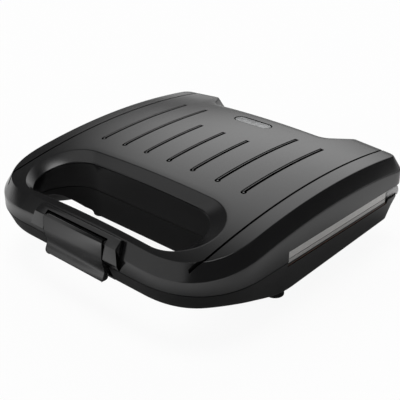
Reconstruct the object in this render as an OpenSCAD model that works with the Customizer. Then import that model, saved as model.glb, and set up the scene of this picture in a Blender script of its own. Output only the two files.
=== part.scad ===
// Sandwich toaster for two slices: a hinged lid over a base, a carrying handle formed by both
// halves around a through opening, and a swing latch at the front.
// Origin: centre of the footprint, on the surface that the feet stand on.
// +X right, +Y towards the hinge, +Z up. Millimetres.

/* [Body] */
// Overall width
body_w = 230; // [224:1:240]
// From the front face of the handle to the rear face of the lid
body_d = 232; // [228:1:240]
// Height of the lid's crest above the floor
body_h = 82.5; // [81:0.5:88]
// Height of the joint between lid and base
parting_z = 42.5; // [42:0.5:44]
// Wall of the plastic covers
wall = 2.5; // [2:0.1:2.8]
// Plan radius of the two front corners
front_r = 56; // [52:1:58]
// How far the front corners stand out of a true arc, half-way round
corner_bulge = 2.5; // [2:0.1:3]
// Plan radius of the two rear corners
rear_r = 12; // [10:1:14]
// Gap left at the joint between the handle halves
joint_gap = 0.4; // [0.3:0.1:0.8]

/* [Lid top] */
// Distance of the crest from the front face
crest_back = 146; // [140:0.5:152]
// Fall of the top from the crest to the front edge
front_fall = 18; // [14:0.5:18]
// Fall of the top from the middle to either side
side_fall = 6.1; // [4:0.1:7]
// Width of the bevel around the top, in plan
bevel_w = 6.6; // [5:0.1:7]
// Height of the bevel around the top
bevel_h = 10.6; // [8:0.1:11]
// Number of decorative grooves
groove_count = 7; // [3:2:7]
// Distance between grooves
groove_pitch = 23.4; // [20:0.1:25]
// Width of a groove
groove_w = 2.6; // [2:0.1:4]
// Depth of a groove
groove_depth = 0.9; // [0.5:0.1:1.2]
// Distance of the grooves from the handle opening
groove_gap = 19.9; // [14:0.1:24]
// Distance of the grooves from the rear face
groove_end = 49.5; // [46:0.5:58]
// Distance of the short grooves in the middle from the rear face
short_groove_end = 80.5; // [76:0.5:88]

/* [Rear recess] */
// Width of an ear beside the recess, at the rear face
ear_w = 47.5; // [45:0.5:49]
// How much wider an ear is at the recess's inner edge
ear_slope = 14.5; // [12:0.5:17]
// Depth of the recess
recess_d = 22.5; // [20:0.5:23]

/* [Handle opening] */
// Distance of the opening's ends from the sides of the body
hole_end = 27.3; // [26:0.1:30]
// Width of the opening, front to rear
hole_w = 59.2; // [56:0.2:60]
// Land between the opening and the bevel at the front
hole_land = 4.8; // [4.5:0.1:6]
// Width of the sloping lip at the ends
lip_end = 10.2; // [8:0.1:12]
// Width of the sloping lip at the rear
lip_rear = 8; // [6:0.2:9]
// Fall of the sloping lip
lip_fall = 4.5; // [3:0.1:5]
// Draft of the opening through the base
base_draft = 4.5; // [3:0.1:5]

/* [Side window] */
// Distance from the front face to the slot between lid and base, where the plates show
slot_start = 83.5; // [81.5:0.5:87.5]
// Distance from the slot to the rear face
slot_end = 24; // [22.5:0.5:25.5]
// Height of the lid's edge above the joint, at the slot
lid_edge_rise = 8; // [7.5:0.1:8.5]
// Depth of the base's edge below the joint, at the slot
base_edge_drop = 3.9; // [3.5:0.1:4.5]

/* [Base] */
// Inset of the base's lower edge from its rim, at the sides and the rear
base_inset = 6; // [4:0.5:7]
// Inset of the base's lower edge from its rim, at the handle
handle_inset = 4.5; // [3:0.1:5]
// Height of the base's lower edge above the floor, near the front feet
floor_gap = 13.5; // [12:0.5:14]
// Rise of the lower edge per millimetre towards the rear
rear_rise = 0.045; // [0.03:0.005:0.05]
// Rise of the underside towards the handle
front_rise = 16.5; // [15:0.5:17]
// Distance from the front face to where the rise towards the handle starts
rise_from = 95.5; // [93:0.5:99]
// Distance from the front face to where the rise ends
rise_to = 20.5; // [18:0.5:25]

/* [Feet] */
// Diameter of a foot
foot_d = 14; // [12:0.5:16]
// Thickness of the rubber pad under a foot
pad_t = 3; // [2:0.5:5]
// Front feet: distance from the sides of the body
front_foot_in = 23.5; // [21:0.5:29]
// Front feet: distance from the front face
front_foot_back = 101; // [98:0.5:105]
// Rear feet: distance from the sides of the body
rear_foot_in = 35; // [31:0.5:55]
// Rear feet: distance from the rear face
rear_foot_fwd = 26.5; // [25:0.5:38]

/* [Hinge] */
// Distance of the hinge axis from the lid's rear face
hinge_back = 11; // [10.5:0.1:11.5]
// Radius of the base's outer knuckles
knuckle_r = 7; // [6:0.1:7.2]
// Radius of the knuckles on the lid's arms
arm_r = 6; // [5:0.1:6.2]
// Width of a hinge arm
arm_w = 9; // [6:0.5:10]
// Distance from the side of the body to the inner face of the base's outer knuckle
knuckle_in = 19; // [17:0.5:20]
// Distance of the outer knuckle's block from the side window
knuckle_lead = 1.5; // [1:0.1:2]
// Width of the base's inner knuckle
rib_w = 7; // [5:0.5:8]
// Diameter of a hinge pin
hinge_pin_d = 5; // [4:0.1:6]
// Clearance between neighbouring knuckles
knuckle_gap = 0.5; // [0.3:0.1:0.7]

/* [Cooking plates] */
// Gap between the plates and the sides of the body
plate_in = 4; // [3.5:0.1:7]
// Gap between the plates' side lips and the sides of the body
plate_lip_in = 1.2; // [1:0.1:2]
// How far the plates reach in front of the slot
plate_over = 4; // [2:0.5:6]
// How far the plates end before the slot's rear end
plate_short = 2.5; // [1.5:0.5:4]
// Height of the plane where the plates meet above the joint
plate_rise = 1.5; // [1.3:0.1:1.7]
// Gap between the closed plates
plate_gap = 0.4; // [0.2:0.1:0.6]
// Thickness of the lower plate's rim
rim_t = 4.5; // [4:0.1:4.6]
// Rim of a plate outside its wells, at the sides
well_side = 9; // [8:0.5:14]
// Land between the two wells of a plate
well_land = 8; // [7:0.5:12]
// Rim of a plate outside its wells, front and rear
well_end = 10; // [9:0.5:14]
// Depth of a sandwich well
well_depth = 9; // [7:0.5:10]
// Corner radius of a sandwich well
well_r = 12; // [8:1:16]
// Thickness of a plate's walls
plate_t = 2.5; // [2:0.1:3]
// Height of the ridge that cuts a sandwich in half
ridge_h = 7; // [5:0.5:8]

/* [Heaters] */
// Diameter of a heating element
heater_d = 6.5; // [6:0.1:7]
// Distance of a heating element from the wells' outer ends
heater_side = 16; // [13:0.5:22]
// Distance of a heating element from the wells' front and rear ends
heater_end = 11; // [9:0.5:18]
// Thickness of a heat shield
shield_t = 0.8; // [0.5:0.1:1]

/* [Latch] */
// Width of the latch
latch_w = 59.5; // [54:0.5:62]
// Gap around the latch
latch_gap = 0.9; // [0.6:0.1:1.2]
// How far the latch stands proud of the handle
latch_proud = 5; // [4.5:0.1:5]
// Diameter of the latch pin
latch_pin_d = 2.5; // [2:0.1:3]
// Width of the latch housing at its top
housing_w = 84.6; // [82:0.2:90]
// Width of the latch housing at its foot
housing_foot_w = 94.8; // [92:0.2:100]

/* [Indicator] */
// Length of the indicator window
window_l = 36; // [30:0.5:40]
// Width of the indicator window
window_w = 12; // [9:0.5:14]
// Distance of the window from the rear face
window_back = 46; // [44.5:0.5:48.5]

/* [Screws and clearances] */
// Thread diameter of the cover screws
screw_d = 3; // [2.5:0.1:3.5]
// Head diameter of the cover screws
screw_head_d = 6; // [5:0.1:7]
// Clearance of a screw in its hole, on the radius
screw_fit = 0.1; // [0.05:0.05:0.2]
// Running clearance of the pins, on the radius
pin_fit = 0.05; // [0.02:0.01:0.08]
// Clearance between a frame and the wall around it
frame_fit = 0.4; // [0.3:0.1:0.5]

/* [Hidden] */
$fn = 48;
eps = 0.01;
far = 300; // longer than the whole object, for cuts that go right through

// Frame of the body
half_w = body_w / 2;
rear_y = (body_d + latch_proud) / 2;
front_y = rear_y - body_d;
lid_joint_z = parting_z + joint_gap / 2;
base_joint_z = parting_z - joint_gap / 2;
crest_y = front_y + crest_back;
rise_start = front_y + rise_from;
rise_end = front_y + rise_to;

// Side window
window_front = front_y + slot_start;
window_rear = rear_y - slot_end;
lid_edge_z = parting_z + lid_edge_rise;
base_edge_z = parting_z - base_edge_drop;

// Handle opening
hole_front = front_y + bevel_w + hole_land;
hole_y = hole_front + hole_w / 2;
hole_rear = hole_front + hole_w;
hole_l = body_w - 2 * hole_end;
lip_l = hole_l - 2 * lip_end;
lip_inset = 0.3; // front edge of the lip, inside the opening
lip_w = hole_w - lip_rear - lip_inset;
lip_y = hole_front + lip_inset + lip_w / 2;
lip_t = 2; // thickness of the lip's inner edge
lip_root = 8; // height below the top at which the lip meets the opening's wall

// Hinge
hinge_y = rear_y - hinge_back;
hinge_z = parting_z;
base_rear_y = hinge_y + knuckle_r;
knuckle_x = half_w - knuckle_in;
arm_x = knuckle_x - knuckle_gap - arm_w / 2;
rib_x = arm_x - arm_w / 2 - knuckle_gap - rib_w / 2;
knuckle_out = half_w - 2; // outer face of the outer knuckle
knuckle_front = window_rear + knuckle_lead; // front of its block
pin_from = rib_x - rib_w / 2 + 1;
pin_to = knuckle_out - 3;
notch_z = hinge_z - knuckle_r - wall; // floor of the notch that the arm swings through

// Stack of frames, plates and heaters, above and below the meeting plane
frame_t = 3;
plate_z = parting_z + plate_rise;
plate_w = body_w - 2 * plate_in;
plate_lip_w = body_w - 2 * plate_lip_in;
plate_front = window_front - plate_over;
plate_rear = window_rear - plate_short;
well_l = (plate_w - well_land) / 2 - well_side;
well_w = plate_rear - plate_front - 2 * well_end;
upper_frame_z = lid_edge_z + 0.5;
upper_rim = upper_frame_z - plate_z;
upper_lip = lid_edge_z - 0.2 - plate_z;
lower_frame_z = plate_z - rim_t;
plate_y = (plate_front + plate_rear) / 2;
well_x = (well_l + well_land) / 2;
heater_w = 2 * (well_x + well_l / 2 - heater_side);
heater_l = well_w - 2 * heater_end;
plate_back = well_depth + plate_t;
heater_rise = plate_back + heater_d / 2 + 0.5;
shield_rise = plate_back + heater_d + 4;
shield_w = heater_w + 26;
shield_l = heater_l + 18;
shield_x = well_x - 13; // shield posts, sideways
frame_front = hole_rear - 12; // front end of the frames beside the opening
cover_spots = [for (s = [-1, 1])
    each [[s * (half_w - 17), hole_rear - 2], [s * (half_w - 45), hinge_y - 6.5]]];
liner_spots = [for (s = [-1, 1])
    each [[s * (housing_foot_w / 2 + 2.6), hole_front - wall - 2.3],
          [s * (half_w + hole_l / 2) / 2, hole_y]]];
foot_spots = [for (s = [-1, 1])
    each [[s * (half_w - front_foot_in), front_y + front_foot_back],
          [s * (half_w - rear_foot_in), rear_y - rear_foot_fwd]]];
plate_spots = [for (s = [-1, 1], y = [plate_front + 3.8, plate_rear - 3.8]) [s * (well_x + 1), y]];
boss_d = screw_d + 4;
liner_t = 2;
liner_boss_d = screw_d + 2;
liner_head_d = 4.4;
liner_fit = 0.6; // height between the joint plane and a liner

// Latch
latch_y = front_y + 1; // pivot, measured from the handle's face
latch_z = parting_z + 16;
latch_barrel_r = 2.8;
pocket_w = latch_w + 2 * latch_gap;
pocket_top = latch_z + 3.8;
pocket_back = hole_front - wall - 4.9;
catch_z = parting_z - 6.5;
catch_t = 2.5;
catch_w = 40;
hook_w = 36;
housing_face = front_y - latch_proud + 0.5;

// Grooves and indicator
groove_front = hole_rear + groove_gap;
groove_rear = rear_y - groove_end;
groove_rear_short = rear_y - short_groove_end;
indicator_y = rear_y - window_back;
lens_seat = 0.5; // from the lid's wall down to the lens's rim
lens_rim_t = 1.2;
lens_tilt = -atan(2 * front_fall * (indicator_y - crest_y) / pow(crest_y - front_y - bevel_w, 2));
board_z = top_z(0, indicator_y) - 12;
board_t = 1.6;
board_post_x = window_l / 2 + 7;
lamp_x = 8;
lamp_r = 2.2;

// Base electrics
bush_x = -25;
bush_bore_d = 7.2;
bush_d = 11;
bush_pad_d = 14.4;
bush_z = lower_frame_z - frame_t - bush_pad_d / 2;
bush_pad_t = 9.7;
bush_face = base_rear_y - 0.3; // outer face of the pad that the bush sits in
block_x = 22;
block_y = hinge_y - 8.5;
block_z = under_z(block_y) + 4.2;
block_screw_x = 13; // distance of the block's screws from its middle
sensor_x = well_x + 10; // distance of the thermostat and the fuse from the middle
sensor_y = plate_y;
sensor_pad = 1.5; // height of the pads that they stand on
stat_d = 22;
stat_h = 6;
stat_hole_y = stat_d / 2 + 4; // distance of the thermostat's screws from its middle
fuse_r = 2.2;
clip_t = 0.8;
clip_hole_y = 7.8; // distance of the clip's screw from the fuse
sensor_spots = [[sensor_x, sensor_y - stat_hole_y], [sensor_x, sensor_y + stat_hole_y],
                [-sensor_x, sensor_y + clip_hole_y]];

// Samples along the outlines
n_front = 5;
n_corner = 9;
n_side = 10;
n_rear = 4;
n_ear = 3;
n_back = 4;
n_far = n_side + n_rear + 1;
n_tail = 2 * (n_ear + 1) + n_back;
n_morph = 7;

function mix(a, b, t) = a + (b - a) * t;

function smooth(t) =
    let (c = min(1, max(0, t)))
    c * c * (3 - 2 * c);

// Height of the lid's top
function top_z(x, y) =
    body_h
    - front_fall * pow((y - crest_y) / (crest_y - front_y - bevel_w), 2)
    - side_fall * pow(x / half_w, 2);

// Height of the base's underside
function under_z(y) =
    floor_gap
    + rear_rise * max(0, y - rise_start)
    + front_rise * smooth((rise_start - y) / (rise_start - rise_end));

// An arc as [x, y, normal x, normal y]; side is -1 where the outline is hollow
function arc(cx, cy, r, from, to, n, side = 1) =
    [for (i = [0:n])
        let (a = mix(from, to, i / n))
        [cx + r * cos(a), cy + r * sin(a), side * cos(a), side * sin(a)]];

// Right half of an outline's front edge, from the middle outwards
function front_half(x, y) =
    [for (i = [0:n_front - 1]) [x * (i + 0.5) / n_front, y, 0, -1]];

// Right half of an outline's rear edge, from the corner to the middle
function rear_half(x, y, n) =
    [for (i = [0:n - 1]) [x * (1 - (i + 0.5) / n), y, 0, 1]];

// Front corner of the body: an arc that stands out most half-way round
front_corner = [
    for (p = arc(half_w - front_r, front_y + front_r, front_r, -90, 0, n_corner))
        let (d = corner_bulge * pow(2 * p[2] * p[3], 2))
        [p[0] + d * p[2], p[1] + d * p[3], p[2], p[3]]];

// Front edge, front corner, side and rear corner, which lid and base share
function body_half(rear) =
    concat(
        front_half(half_w - front_r, front_y),
        front_corner,
        [for (i = [1:n_side])
            [half_w, mix(front_y + front_r, rear - rear_r, i / (n_side + 1)), 1, 0]],
        arc(half_w - rear_r, rear - rear_r, rear_r, 0, 90, n_rear));

ear_r = bevel_w + 1.8; // round at the ear's tip
recess_r = 6; // round at the recess's inner corners
recess_y = rear_y - recess_d;
recess_mouth = body_w - 2 * ear_w;
recess_w = recess_mouth - 2 * ear_slope;
ear_turn = atan2(recess_d, ear_slope);
ear_nx = cos(90 + ear_turn);
ear_ny = sin(90 + ear_turn);
ear_cx = recess_mouth / 2 + ear_r * (ear_ny - 1) / ear_nx;
recess_cx = recess_w / 2 + recess_r * (1 - ear_ny) / ear_nx;

lid_half = concat(
    body_half(rear_y),
    arc(ear_cx, rear_y - ear_r, ear_r, 90, 90 + ear_turn, n_ear),
    arc(recess_cx, recess_y + recess_r, recess_r, 270 + ear_turn, 270, n_ear, -1),
    rear_half(recess_cx, recess_y, n_back));

base_half = concat(body_half(base_rear_y), rear_half(half_w - rear_r, base_rear_y, n_tail));

// A slot with round ends, sampled in step with the outlines above
function slot_half(l, w, y) =
    let (r = w / 2, x = (l - w) / 2)
    concat(
        front_half(x, y - r),
        arc(x, y, r, -90, 0, n_corner),
        [for (i = [1:n_far])
            let (a = 90 * i / n_far)
            [x + r * cos(a), y + r * sin(a), cos(a), sin(a)]],
        rear_half(x, y + r, n_tail));

hole_half = slot_half(hole_l, hole_w, hole_y);
lip_half = slot_half(lip_l, lip_w, lip_y);
low_hole_half = slot_half(hole_l + 2 * base_draft, hole_w + base_draft, hole_y + base_draft / 2);

// Both halves of an outline, moved outwards by d, and by d_front where it faces the front
function outline(half, d = 0, d_front = undef) =
    let (h = [for (p = half)
        let (m = is_undef(d_front) ? d : mix(d, d_front, max(0, -p[3])))
        [p[0] + m * p[2], p[1] + m * p[3]]])
    concat(h, [for (i = [len(h) - 1:-1:0]) [-h[i][0], h[i][1]]]);

function ring_at(pts, z) = [for (p = pts) [p[0], p[1], z]];
function ring_top(pts, dz) = [for (p = pts) [p[0], p[1], top_z(p[0], p[1]) + dz]];
function ring_under(pts, dz) = [for (p = pts) [p[0], p[1], under_z(p[1]) + dz]];
function between(a, b, t) = [for (i = [0:len(a) - 1]) mix(a[i], b[i], t)];

// Inside of the base's outer wall where it meets the floor
base_floor = outline(base_half, -base_inset - wall - 1, -handle_inset - wall + 0.5);

// Inside of the base's outer wall, and the wall around its opening, at height z
function base_inside(z) =
    let (top = outline(base_half, -wall))
    [for (i = [0:len(top) - 1])
        let (foot_z = under_z(base_floor[i][1]) + wall + 1)
        mix(top[i], base_floor[i], (base_joint_z - z) / (base_joint_z - foot_z))];

function base_opening(z) =
    let (top = outline(hole_half, wall), foot = outline(low_hole_half, wall))
    [for (i = [0:len(top) - 1])
        mix(top[i], foot[i], (base_joint_z - z) / (base_joint_z - under_z(foot[i][1]) - wall))];

// Height of the bevel's lower edge, under the point where the bevel starts
function ring_bevel(half, d, dz) =
    let (edge = outline(half, -bevel_w), pts = outline(half, d))
    [for (i = [0:len(pts) - 1]) [pts[i][0], pts[i][1], top_z(edge[i][0], edge[i][1]) + dz]];

// Closed skin through a cycle of rings
module ring_body(rings) {
    m = len(rings);
    n = len(rings[0]);
    polyhedron(
        points = [for (r = rings) each r],
        faces = [for (i = [0:m - 1], j = [0:n - 1])
            let (a = i * n + j,
                 b = i * n + (j + 1) % n,
                 c = ((i + 1) % m) * n + (j + 1) % n,
                 d = ((i + 1) % m) * n + j)
            each [[a, c, b], [a, d, c]]]);
}

module plan(half, d) {
    polygon(outline(half, d));
}

module box(from, to) {
    translate(from) cube(to - from);
}

// A bar along X with the given [y, z] section
module section_bar(width, pts) {
    rotate([90, 0, 90]) linear_extrude(width, center = true) polygon(pts);
}

module rod_x(x0, x1, d) {
    translate([x0, 0, 0]) rotate([0, 90, 0]) cylinder(h = x1 - x0, d = d);
}

module rod_y(y0, y1, d) {
    translate([0, y0, 0]) rotate([-90, 0, 0]) cylinder(h = y1 - y0, d = d);
}

module both_sides() {
    children();
    mirror([1, 0, 0]) children();
}

module slot_shape(l, w) {
    hull() {
        translate([-(l - w) / 2, 0]) circle(d = w, $fn = 32);
        translate([(l - w) / 2, 0]) circle(d = w, $fn = 32);
    }
}

// A screw that stands on its head's seat at z = 0 and points up
module screw(length) {
    cylinder(h = length, d = screw_d - 2 * screw_fit);
    difference() {
        translate([0, 0, -screw_d / 2]) cylinder(h = screw_d / 2, d = screw_head_d);
        for (a = [0, 90])
            rotate(a) box([-screw_head_d / 3, -0.35, -screw_d], [screw_head_d / 3, 0.35, -screw_d / 4]);
    }
}

// ---------------------------------------------------------------- lid

module lid_shell() {
    edge = outline(lid_half, -bevel_w);
    hole = outline(hole_half);
    inner_edge = outline(lid_half, -bevel_w - 1.5);
    inner_hole = outline(hole_half, wall);
    ring_body(concat(
        [ring_at(outline(lid_half), lid_joint_z), ring_bevel(lid_half, 0, -bevel_h)],
        [for (i = [0:n_morph]) ring_top(between(edge, hole, i / n_morph), 0)],
        [ring_top(outline(lip_half), -lip_fall),
         ring_top(outline(lip_half), -lip_fall - lip_t),
         ring_top(hole, -lip_root),
         ring_at(hole, lid_joint_z),
         ring_at(inner_hole, lid_joint_z)],
        [for (i = [n_morph:-1:0]) ring_top(between(inner_edge, inner_hole, i / n_morph), -wall)],
        [ring_bevel(lid_half, -wall, -bevel_h - 1), ring_at(outline(lid_half, -wall), lid_joint_z)]));
}

// Raised housing on the handle's face, around the latch
module latch_housing() {
    hull() {
        section_bar(housing_w, [[front_y + 4, pocket_top - 2], [front_y + 1.8, pocket_top + 1.5],
                                [housing_face + 1, latch_z + 1.5]]);
        section_bar(housing_foot_w, [[housing_face, latch_z - 8.5], [front_y + 0.2, lid_joint_z],
                                     [front_y + 1.5, lid_joint_z]]);
    }
}

module groove(x, rear) {
    steps = 8;
    floor_line = [for (i = [0:steps])
        let (y = mix(groove_front, rear, i / steps))
        [y, top_z(x, y) - groove_depth]];
    section = concat(floor_line, [[rear, body_h + 1], [groove_front, body_h + 1]]);
    translate([x, 0, 0]) section_bar(groove_w, section);
    translate([x, groove_front, top_z(x, groove_front) - groove_depth])
        cylinder(h = body_h, d = groove_w + 1.6);
}

module grooves() {
    for (i = [0:groove_count - 1]) {
        k = i - (groove_count - 1) / 2;
        groove(k * groove_pitch, abs(k) < 1.5 ? groove_rear_short : groove_rear);
    }
}

module upper_cover() {
    color("#2b2b2d")
    difference() {
        union() {
            lid_shell();
            latch_housing();
            both_sides()
                box([pocket_w / 2, front_y + 0.5, latch_z - 5],
                    [pocket_w / 2 + 6, hole_front - 1, latch_z + 4]);
            for (p = cover_spots)
                translate([p[0], p[1], upper_frame_z + frame_t])
                    cylinder(h = top_z(p[0], p[1]) - wall / 2 - upper_frame_z - frame_t, d = boss_d);
            for (p = liner_spots) {
                roof_z = top_z(p[0], p[1]) - (p[1] < hole_front ? 2 * wall : wall / 2);
                translate([p[0], p[1], lid_joint_z + liner_fit + liner_t])
                    cylinder(h = roof_z - lid_joint_z - liner_fit - liner_t, d = liner_boss_d);
            }
            for (s = [-1, 1]) {
                post_z = board_z + board_t;
                translate([s * board_post_x, indicator_y, post_z])
                    cylinder(h = top_z(board_post_x, indicator_y) - wall / 2 - post_z, d = boss_d - 1);
            }
        }
        box([-far, window_front, 0], [far, far, lid_edge_z]);
        box([-pocket_w / 2, -far, 0], [pocket_w / 2, pocket_back, pocket_top]);
        translate([0, latch_y, latch_z])
            rod_x(-pocket_w / 2 - 4.5, pocket_w / 2 + 4.5, latch_pin_d + 2 * pin_fit);
        for (p = cover_spots)
            translate([p[0], p[1], upper_frame_z + frame_t - 1]) cylinder(h = 9, d = screw_d);
        for (p = liner_spots)
            translate([p[0], p[1], lid_joint_z]) cylinder(h = 11, d = screw_d);
        for (s = [-1, 1])
            translate([s * board_post_x, indicator_y, board_z]) cylinder(h = 7, d = screw_d);
        translate([0, indicator_y, top_z(0, indicator_y)])
            rotate([lens_tilt, 0, 0])
                translate([0, 0, -2 * wall]) linear_extrude(4 * wall) slot_shape(window_l, window_w);
        grooves();
    }
}

// A frame around the plates, inside the given walls
module frame_plan(walls, opening) {
    difference() {
        intersection() {
            offset(delta = -frame_fit) polygon(walls);
            translate([-far, frame_front]) square([2 * far, far]);
        }
        offset(delta = frame_fit) polygon(opening);
        translate([0, plate_y])
            square([2 * (well_x + well_l / 2 + plate_t + 1), well_w + 2 * plate_t + 2], center = true);
        for (p = cover_spots) translate(p) circle(d = screw_d + 2 * screw_fit);
    }
}

module upper_inner_frame() {
    color("#1d1d1f")
    difference() {
        union() {
            translate([0, 0, upper_frame_z]) linear_extrude(frame_t)
                frame_plan(outline(lid_half, -wall), outline(hole_half, wall));
            both_sides() {
                translate([0, hinge_y, hinge_z]) rod_x(arm_x - arm_w / 2, arm_x + arm_w / 2, 2 * arm_r);
                box([arm_x - arm_w / 2, hinge_y - arm_r + 0.5, hinge_z],
                    [arm_x + arm_w / 2, hinge_y + arm_r - 0.5, upper_frame_z + frame_t]);
            }
        }
        translate([0, hinge_y, hinge_z]) rod_x(-far, far, hinge_pin_d + 2 * pin_fit);
        for (p = plate_spots)
            translate([p[0], p[1], upper_frame_z - 1]) cylinder(h = frame_t + 2, d = screw_d);
    }
}

// A flat ring that closes the open side of the hollow handle
module liner_plan(walls, opening) {
    difference() {
        offset(delta = -frame_fit) polygon(walls);
        offset(delta = frame_fit) polygon(opening);
        translate([-far, frame_front - frame_fit]) square([2 * far, far]);
        translate([-pocket_w / 2 - 1, -far]) square([pocket_w + 2, far + pocket_back + frame_fit]);
        for (p = liner_spots) translate(p) circle(d = screw_d + 2 * screw_fit);
    }
}

module upper_handle_liner() {
    color("#242426")
    translate([0, 0, lid_joint_z + liner_fit])
        linear_extrude(liner_t) liner_plan(outline(lid_half, -wall), outline(hole_half, wall));
}

module rounded_rect(l, w, r) {
    square([l - 2 * r, w], center = true);
    square([l, w - 2 * r], center = true);
    for (sx = [-1, 1], sy = [-1, 1])
        translate([sx * (l / 2 - r), sy * (w / 2 - r)]) circle(r = r);
}

// A cooking plate that faces down, with its back up; z = 0 is the meeting plane
module plate(rim, lip) {
    lip_front = window_front + 0.7;
    lip_back = window_rear - 0.7;
    difference() {
        union() {
            box([-plate_w / 2, plate_front, plate_gap / 2], [plate_w / 2, plate_rear, rim]);
            box([-plate_lip_w / 2, lip_front, plate_gap / 2],
                [plate_lip_w / 2, min(lip_back, plate_rear), lip]);
            for (s = [-1, 1])
                translate([s * well_x, plate_y, plate_gap / 2])
                    linear_extrude(plate_back - plate_gap / 2)
                        rounded_rect(well_l + 2 * plate_t, well_w + 2 * plate_t, well_r + plate_t);
            for (s = [-1, 1]) {
                translate([s * shield_x, plate_y, plate_back - 1])
                    cylinder(h = shield_rise - plate_back + 1, d = boss_d);
                box([s * shield_x - 4, plate_y - heater_l / 2 - 4, plate_back - 1],
                    [s * shield_x + 4, plate_y - heater_l / 2 + 4, heater_rise]);
                box([s * heater_w / 2 - 4, plate_y, plate_back - 1],
                    [s * heater_w / 2 + 4, plate_y + 8, heater_rise]);
            }
        }
        for (s = [-1, 1]) {
            translate([s * well_x, plate_y, -1])
                linear_extrude(well_depth + 1) rounded_rect(well_l, well_w, well_r);
            translate([s * shield_x, plate_y, shield_rise - 5]) cylinder(h = 6, d = screw_d);
        }
        translate([0, plate_y - heater_l / 2, heater_rise]) rod_x(-far, far, heater_d + 2 * pin_fit);
        for (s = [-1, 1])
            translate([s * heater_w / 2, 0, heater_rise]) rod_y(plate_y, far, heater_d + 2 * pin_fit);
        for (p = plate_spots)
            translate([p[0], p[1], -1]) {
                cylinder(h = rim + 2, d = screw_d + 2 * screw_fit);
                cylinder(h = 1 + rim - 2.2, d = screw_head_d + 1);
            }
    }
    for (s = [-1, 1]) sandwich_ridge(s);
}

// The ridge across a well, from corner to corner
module sandwich_ridge(s) {
    intersection() {
        translate([s * well_x, plate_y, 0])
            linear_extrude(well_depth + eps) rounded_rect(well_l - eps, well_w - eps, well_r);
        translate([s * well_x, plate_y, 0])
            rotate(s * atan2(well_w, well_l))
                section_bar(2 * well_w, [[-6, well_depth + 1], [6, well_depth + 1], [0.8, well_depth - ridge_h],
                                         [-0.8, well_depth - ridge_h]]);
    }
}

module upper_plate() {
    color("#9a9a9c") translate([0, 0, plate_z]) plate(upper_rim, upper_lip);
}

// A tubular element bent to a U, with its terminals at the rear
module heater() {
    r = 14;
    y0 = plate_y - heater_l / 2;
    y1 = plate_y + heater_l / 2 + 6;
    rod_at = heater_w / 2;
    translate([0, y0, heater_rise]) rod_x(-rod_at + r, rod_at - r, heater_d);
    for (s = [-1, 1]) {
        translate([s * rod_at, 0, heater_rise]) {
            rod_y(y0 + r, y1, heater_d);
            rod_y(y1, y1 + 7, heater_d / 2);
        }
        translate([s * (rod_at - r), y0 + r, heater_rise])
            rotate(s > 0 ? -90 : 180)
                rotate_extrude(angle = 90) translate([r, 0]) circle(d = heater_d);
    }
}

module upper_heater() {
    color("#6b6a68") translate([0, 0, plate_z]) heater();
}

module heat_shield() {
    translate([0, plate_y, shield_rise])
        linear_extrude(shield_t)
            difference() {
                rounded_rect(shield_w, shield_l, 8);
                for (s = [-1, 1]) translate([s * shield_x, 0]) circle(d = screw_d + 2 * screw_fit);
            }
}

module upper_heat_shield() {
    color("#b4b4b2") translate([0, 0, plate_z]) heat_shield();
}

module indicator_lens() {
    color("#c9ccd0")
    translate([0, indicator_y, top_z(0, indicator_y)])
        rotate([lens_tilt, 0, 0]) {
            translate([0, 0, -wall - lens_seat - eps])
                linear_extrude(wall + lens_seat + eps + 0.15) slot_shape(window_l - 0.5, window_w - 0.5);
            translate([0, 0, -wall - lens_seat - lens_rim_t])
                linear_extrude(lens_rim_t) slot_shape(window_l + 4, window_w + 4);
        }
}

module lamp_board() {
    color("#7a5a32")
    translate([0, indicator_y, board_z])
        linear_extrude(board_t)
            difference() {
                square([2 * board_post_x + 8, 14], center = true);
                for (s = [-1, 1]) translate([s * board_post_x, 0]) circle(d = screw_d + 2 * screw_fit);
            }
}

module lamp(s) {
    translate([s * lamp_x, indicator_y, board_z + board_t]) {
        cylinder(h = 3, r = lamp_r);
        translate([0, 0, 3]) sphere(r = lamp_r);
    }
}

module red_lamp() {
    color("#8c1f16") lamp(-1);
}

module green_lamp() {
    color("#1f6b34") lamp(1);
}

// The latch's section as [y, z], hanging from its pivot over the housing's face
module latch() {
    face = housing_face;
    color("#2b2b2d")
    difference() {
        union() {
            section_bar(latch_w, [
                [latch_y - 1, pocket_top - 1], [face + 1.4, latch_z + 1.5], [face, latch_z - 8],
                [face + 2, latch_z - 14], [face + 3.2, latch_z - 18.5], [face + 2.4, latch_z - 22],
                [face + 0.1, latch_z - 24], [face - 0.5, latch_z - 26.5], [face + 0.5, latch_z - 27.5],
                [face + 3, latch_z - 27.2], [face + 4.6, latch_z - 25.6], [face + 5.6, latch_z - 18.5],
                [face + 4.4, latch_z - 14], [face + 2.4, latch_z - 7.5], [latch_y - 1, latch_z - 1]]);
            translate([0, latch_y, latch_z]) rod_x(-latch_w / 2, latch_w / 2, 2 * latch_barrel_r);
            box([-hook_w / 2, face + 4, catch_z - 0.3 - catch_t],
                [hook_w / 2, pocket_back - 0.7, catch_z - 0.3]);
        }
        translate([0, latch_y, latch_z]) rod_x(-far, far, latch_pin_d + 2 * pin_fit);
    }
}

module latch_pin() {
    color("#8f9092")
    translate([0, latch_y, latch_z]) rod_x(-pocket_w / 2 - 4, pocket_w / 2 + 4, latch_pin_d);
}

module upper_cover_screws() {
    color("#8f9092")
    for (p = cover_spots) translate([p[0], p[1], upper_frame_z]) screw(frame_t + 6);
}

module upper_handle_screws() {
    color("#8f9092")
    for (p = liner_spots) translate([p[0], p[1], lid_joint_z + liner_fit]) shallow_screw(liner_t + 7);
}

// A screw with a thin head, for the height between a liner and the joint
module shallow_screw(length) {
    cylinder(h = length, d = screw_d - 2 * screw_fit);
    translate([0, 0, -liner_fit + 0.1]) cylinder(h = liner_fit - 0.1, d = liner_head_d);
}

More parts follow.
